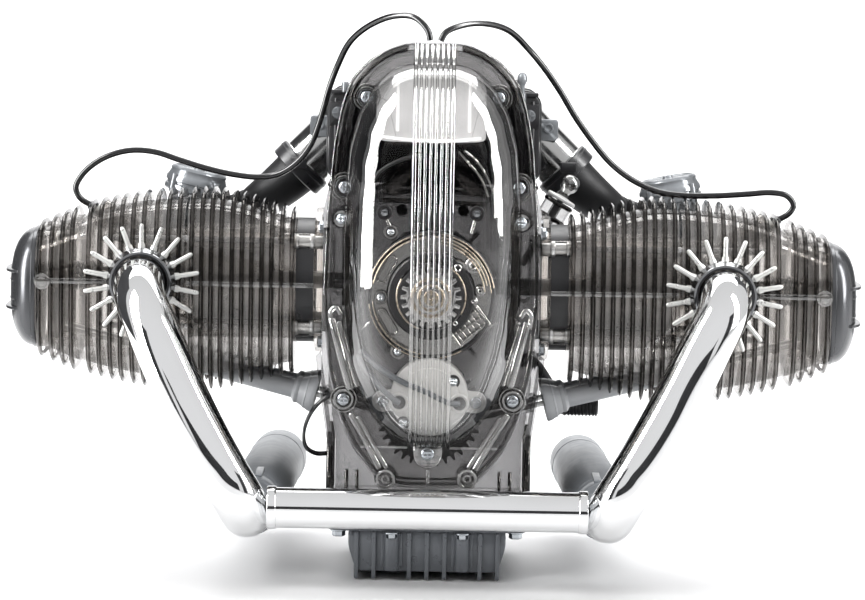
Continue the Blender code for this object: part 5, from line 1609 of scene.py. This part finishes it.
def make_intake():
    b = Build()
    shell = round_corners([(-44, 165.5), (44, 165.5), (48, 169.5), (48, 203),
                           (44, 207), (-44, 207), (-48, 203), (-48, 169.5)],
                          2.5, 4)
    b.prism(shell, "Y", 63.0, 101.0, 1.2)
    for y in (66.0, 97.6):
        b.tube([Vector((x * 1.002, y, 186.2 + (z - 186.2) * 1.006))
                for x, z in resample(shell, 120)], 0.6, 8, closed=True)
    for x in (-44.5, -37.0, 37.0, 44.5):
        b.bar((x, 62.9, 170.0), (x, 62.9, 203.0), 0.9, 12, 0.3)
    b.block(-36.0, 36.0, 61.9, 63.4, 170.0, 171.4, 0.4)
    b.block(-36.0, 36.0, 61.9, 63.4, 201.0, 202.4, 0.4)
    for s in (-1, 1):
        b.block(min(s * 38.5, s * 47.6), max(s * 38.5, s * 47.6), 62.0, 64.0,
                190.5, 201.5, 0.6)
        b.block(min(s * 39.5, s * 47.0), max(s * 39.5, s * 47.0), 61.2, 64.0,
                205.0, 206.8, 0.4)
    b.done("air_box_fine", [M["black"]], smooth=40,
           replaces=("air_box",))
    b = Build()
    # screw knobs with crossed tops at both front corners, and a peg
    for x, z in ((-43.6, 196.4), (43.0, 196.4)):
        b.turned((x, 62.0, z), (0, -1, 0), [(2.9, 0), (2.9, 1.4), (2.6, 2.2),
                                            (2.2, 2.6)], 32)
        b.block(x - 2.6, x + 2.6, 58.8, 59.8, z - 0.5, z + 0.5, 0.2)
        b.block(x - 0.5, x + 0.5, 58.8, 59.8, z - 2.6, z + 2.6, 0.2)
    b.turned((39.4, 58.5, 201.0), (0, 0, 1),
             [(1.9, 0), (1.9, 5.4), (1.3, 6.0), (1.2, 9.0), (1.6, 9.8),
              (2.2, 11.2), (2.3, 12.8), (1.7, 14.4), (0.5, 15.2)], 28)
    b.block(37.6, 41.4, 58.0, 63.4, 198.0, 202.0, 0.4)
    b.turned((-40.5, 60.5, 206.0), (0, 0, 1), [(1.6, 0), (1.6, 4.0),
                                               (1.1, 4.6)], 20)
    b.done("air_box_knobs", [M["grey_clear"]], smooth=40)

    for tag, s in SIDES:
        p, q = Vector((s * 48.3, 82, 182.7)), Vector((s * 61.3, 82, 169.7))
        d = (q - p).normalized()
        _, u, w = frame_of(d)
        n = (q - p).length

        def round_at(end, r, mitre=False, n=56):
            ring = []
            for k in range(n):
                e = (u * math.cos(math.tau * k / n)
                     + w * math.sin(math.tau * k / n)) * r
                point = end + e
                if mitre:
                    point -= d * (e.x / d.x)
                ring.append(point)
            return ring
        b = Build()
        b.loft([round_at(p, 10.2, True), round_at(p, 12.0, True),
                round_at(q - d * 5.0, 12.0), round_at(q - d * 4.6, 12.5),
                round_at(q - d * 0.5, 12.5), round_at(q, 12.0),
                round_at(q, 10.2)], cyclic=True)
        b.done("intake_tube_fine_" + tag, [M["tube"]], smooth=40,
               replaces=("intake_tube_" + tag,))
        # screw lug on top of the tube, and the clamp band round the joint
        b = Build()
        lug = Vector((s * 52.0, 74.0, 190.5))
        b.prism(round_corners([(lug.x - 4.4, lug.z - 5.6),
                               (lug.x + 4.4, lug.z - 5.6),
                               (lug.x + 4.4, lug.z + 4.0),
                               (lug.x - 4.4, lug.z + 4.0)], 1.6, 5), "Y",
                lug.y - 4.5, lug.y + 3.0, 0.5)
        b.ring((lug.x, lug.y - 4.4, lug.z), (0, -1, 0), 2.3, 1.3, 0, 0.9, 28,
               0.2)
        b.done("intake_lug_" + tag, [M["grey_clear"]], smooth=40)
        b = Build()
        b.ring(q - d * 4.4, d, 13.8, 12.2, 0, 7.4, 56, 0.5)
        b.ring(q - d * 4.0, d, 14.1, 13.6, 1.4, 2.2, 56, 0.1)
        b.block(min(q.x - 3.6, q.x + 3.6), max(q.x - 3.6, q.x + 3.6),
                q.y - 17.0, q.y - 11.5, q.z + 1.0, q.z + 5.6, 0.5)
        b.done("intake_clamp_" + tag, [M["black"]], smooth=40)

        port = at(s, (117.0, 0, 125.0))
        rear = Vector((s * 109.2, 88.0, 140.0))
        start = Vector((port.x, port.y + 34.6, port.z))
        elbow = start + Vector((0, 5, 0))
        aim = (rear - elbow).normalized()
        bend = rear + aim * 8 + Vector((-9.0 * s, -1.7, 0))
        hose = [q + d * 0.3, q + d * 5, Vector((s * 75, 84.5, 157.6)),
                Vector((s * 84.5, 92.0, 151.0))]
        for turn, z in ((135, 147.4), (105, 146.0), (72, 144.8), (40, 143.6)):
            a = math.radians(turn)
            hose.append(Vector((bend.x + s * 9.2 * math.cos(a),
                                bend.y + 9.2 * math.sin(a), z)))
        hose += [rear + aim * 8, rear + aim * 1.0]
        route = smooth_path(hose, 1.2)
        b = Build()
        b.tube(route, 8.0, 40, taper=lambda f: 1.0 + 0.38
               * max(0.0, 1 - f / 0.42) ** 0.7)
        for i in range(26, len(route) - 10, 3):
            t = (route[i + 1] - route[i]).normalized()
            b.ring(route[i], t, 8.45, 7.8, 0, 1.3, 40, 0.4)
        b.done("intake_hose_fine_" + tag, [M["rubber"]], smooth=45,
               replaces=("intake_hose_" + tag,))

        b = Build()
        b.tube(smooth_path([start, start + Vector((0, 4.5, 0.4)),
                            elbow + aim * 6, rear], 1.5), 8.6, 40)
        b.ring(start, (0, 1, 0), 10.6, 8.0, 0, 2.4, 40, 0.4)
        mid = elbow + aim * ((60 - elbow.y) / aim.y)
        up = Vector((s * 107.5, 60, 162))
        axis = (up - mid).normalized()
        b.turned(mid + axis * 3, axis, [(11, 0), (11, 15.0), (10.2, 15.6),
                                        (10.2, 16.4), (11, 17.0), (11, 26)], 48)
        c = up - axis * 2.5
        b.turned(c, axis, [(11.2, -1.0), (13.2, -0.8), (14.0, 0.0), (14.0, 1.9),
                           (13.3, 2.4), (13.3, 3.2), (14.0, 3.6), (14.0, 5.2),
                           (13.4, 6.4), (12.6, 8.2), (12.9, 9.2), (12.3, 10.2),
                           (11.4, 10.6), (10.8, 10.0), (9.0, 9.6), (2.6, 9.9),
                           (2.0, 11.3), (0.4, 11.5)], 64)
        for k in range(4):
            t = math.tau * (k + 0.5) / 4
            _, u, w = frame_of(axis)
            e = u * math.cos(t) + w * math.sin(t)
            b.bar(c + e * 13.4 - axis * 1.6, c + e * 13.4 + axis * 6.6, 1.7, 20,
                  0.3)
        b.turned(mid - Vector((0, 0, 5)), (0, 0, -1),
                 [(9.5, 0), (9.5, 12.2), (8.8, 13.6), (6.0, 14.0), (4.6, 14.2),
                  (4.4, 15.6), (0.6, 15.8)], 44)
        b.ring(mid - Vector((0, 0, 7)), (0, 0, -1), 10.3, 9.2, 0, 2.0, 44, 0.3)
        b.done("carburettor_fine_" + tag, [M["grey_clear"]], smooth=42,
               replaces=("carburettor_" + tag,))
        b = Build()
        b.bar(mid + Vector((0, -7, 6)), mid + Vector((0, -9.8, 6)), 2.0, 16, 0.3)
        hex_head(b, mid - Vector((0, 0, 20.6)), (0, 0, -1), 2.4, 1.6)
        b.done("carburettor_brass_" + tag, [M["brass"]], smooth=40)


# --------------------------------------------- dipstick, gear lever, plugs

def make_dipstick():
    top = Vector((56.5, 32.0, 159.7))
    aim = (top - Vector((42.0, 32.0, 134.2))).normalized()
    b = Build()
    b.turned(top - aim * 33, aim,
             [(0.8, 0), (1.6, 0.8), (1.6, 33.4), (6.3, 33.6), (6.8, 34.0),
              (6.8, 34.9), (6.3, 35.3), (3.4, 35.5), (2.6, 35.8), (0.4, 36.0)],
             48)
    b.done("dipstick_fine", [M["white"]], body="dipstick", smooth=40,
           replaces=("dipstick",))
    b = Build()
    b.turned(top + aim * 2.6, aim,
             [(2.2, 0), (2.0, 1.6), (2.2, 2.6), (3.4, 3.8), (4.0, 5.2),
              (4.1, 7.0), (3.7, 8.6), (2.7, 9.8), (1.4, 10.4), (0.3, 10.5)],
             44)
    b.done("dipstick_knob", [M["rib"]], body="dipstick", smooth=40)


def make_gear_lever():
    b = Build()
    prof = [(1.0, 0), (4.0, 0.3), (4.0, 2.4), (4.4, 2.9)]
    x = 3.4
    while x < 16.6:
        prof += [(4.6, x), (4.6, x + 0.7), (4.15, x + 0.9), (4.15, x + 1.3)]
        x += 1.6
    prof += [(4.6, 17.4), (4.5, 18.2), (3.6, 18.8), (0.6, 18.9)]
    b.turned((58, 60, 65), (1, 0, 0), prof, 40)
    b.tube(smooth_path([(45.0, 76, 84), (48.5, 74.0, 81.8), (55.0, 67.0, 73.0),
                        (60.0, 61.0, 65.8)], 1.2), 2.6, 20)
    b.bar((40.7, 76, 84), (47.5, 76, 84), 3.2, 32, 0.4)
    b.ring((44.6, 76, 84), (1, 0, 0), 4.6, 3.0, 0, 2.6, 32, 0.4)
    b.done("gear_lever_fine", [M["black"]], body="gear_lever", smooth=40,
           replaces=("gear_lever",))


def make_plug(tag, s):
    d = (PLUG_B - PLUG_A).normalized()
    dv = Vector((s * d.x, 0, d.z))
    base = at(s, PLUG_A)
    n = (PLUG_B - PLUG_A).length
    b = Build()
    b.turned(base + dv * (n - 22), dv,
             [(2.0, 0), (3.4, 0.6), (3.4, 4.0), (2.9, 4.8), (2.9, 6.2),
              (3.3, 6.6), (3.3, 7.4), (2.8, 7.8), (2.8, 9.0), (3.2, 9.4),
              (3.2, 10.2), (2.6, 10.8), (2.4, 16.0), (1.4, 16.6)], 36)
    b.done("plug_ceramic_" + tag, [M["ceramic"]], smooth=42,
           replaces=("spark_plug_" + tag,))
    b = Build()
    p = base + dv * 6
    b.turned(p, dv, [(1.9, 0), (2.6, 0.3)] +
             [(2.6 + (0.35 if k % 2 else 0.0), 0.3 + 0.55 * k)
              for k in range(1, 18)] + [(2.6, 10.4), (2.0, 10.8)], 28)
    b.turned(base + dv * 17.0, dv, [(4.9, 0), (4.9, 3.6), (4.2, 4.2)], 6)
    b.done("plug_shell_" + tag, [M["tube"]], smooth=38)
    b = Build()
    end = at(s, (149.6, 0, 155.8))
    b.turned(end - dv * 2.4, dv, [(1.8, 0), (2.4, 0.5), (2.4, 2.6), (2.1, 3.4),
                                 (1.6, 4.0)], 28)
    b.done("plug_cap_" + tag, [M["rubber"]], smooth=42)


make_timing_cover()
make_crankcase_details()
make_oil_pan()
make_rear()
make_intake()
make_dipstick()
make_gear_lever()
for tag, s in SIDES:
    make_plug(tag, s)


# ------------------------------------------------- moving parts, seen inside

def make_piston(tag, s):
    b = Build()
    p = at(s, (70.0, 0, CRANK_Z))
    b.turned(p, (s, 0, 0),
             [(20.4, 0.4), (21.9, 0.0), (22.2, 0.4), (22.2, 22.0), (21.5, 22.2),
              (21.5, 23.6), (22.2, 23.8), (22.2, 25.6), (21.3, 25.8),
              (21.3, 27.2), (22.2, 27.4), (22.2, 29.2), (21.3, 29.4),
              (21.3, 30.8), (22.2, 31.0), (22.2, 33.6), (21.8, 34.0),
              (17.0, 34.0), (16.0, 33.4), (0.3, 33.4), (0.3, 30.5), (20.4, 30.5)],
             72, cyclic=True)
    for m in (-1, 1):
        b.bar(at(s, (83.0, m * 6.0, CRANK_Z)), at(s, (83.0, m * 21.0, CRANK_Z)),
              3.4, 28, 0.3)
    b.done("piston_fine_" + tag, [M["aluminium"]], body="piston_" + tag,
           smooth=38, replaces=("piston_" + tag,))


def make_spring(tag, s, word, m):
    a = at(s, line_at(VALVE_A, VALVE_B, 150.0, m))
    e = at(s, line_at(VALVE_A, VALVE_B, 158.6, m))
    d, u, w = frame_of(e - a)
    n = (e - a).length
    pts = []
    turns, steps = 4.5, 110
    for k in range(steps + 1):
        f = k / steps
        t = math.tau * turns * f
        rise = 0.7 + (n - 1.4) * min(max((f - 0.08) / 0.84, 0.0), 1.0)
        pts.append(a + d * rise + (u * math.cos(t) + w * math.sin(t)) * 4.3)
    b = Build()
    b.tube(pts, 0.6, 10)
    ob = b.done("spring_" + word + "_" + tag, [M["steel"]], smooth=60)
    tuple(d)
    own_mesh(ob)
    b = Build()
    top = at(s, line_at(VALVE_A, VALVE_B, 161.0, m))
    b.turned(top - d * 2.3, d, [(1.3, 0), (4.6, 0), (4.9, 0.3), (4.9, 1.0),
                               (4.2, 1.4), (2.6, 1.6), (1.5, 1.8)], 36)
    b.done("spring_cap_" + word + "_" + tag, [M["aluminium"]],
           body="valve_" + word + "_" + tag, smooth=40)


def make_rotor_face():
    b = Build()
    b.turned((0, -66.1, CRANK_Z), (0, -1, 0),
             [(5.2, 0), (13.6, 0), (14.0, 0.2), (14.0, 0.5), (13.4, 0.8),
              (9.0, 0.8), (8.6, 1.4), (5.2, 1.4)], 72, cyclic=True)
    for k in range(6):
        t = math.tau * k / 6 + 0.3
        c = Vector((11.4 * math.cos(t), -66.6, CRANK_Z + 11.4 * math.sin(t)))
        b.ring(c, (0, -1, 0), 1.3, 0.7, 0, 0.9, 20, 0.1)
    b.done("rotor_face", [M["black"]], body="crankshaft", smooth=38)


for tag, s in SIDES:
    make_piston(tag, s)
    for word, m in (("intake", 1), ("exhaust", -1)):
        make_spring(tag, s, word, m)
make_rotor_face()
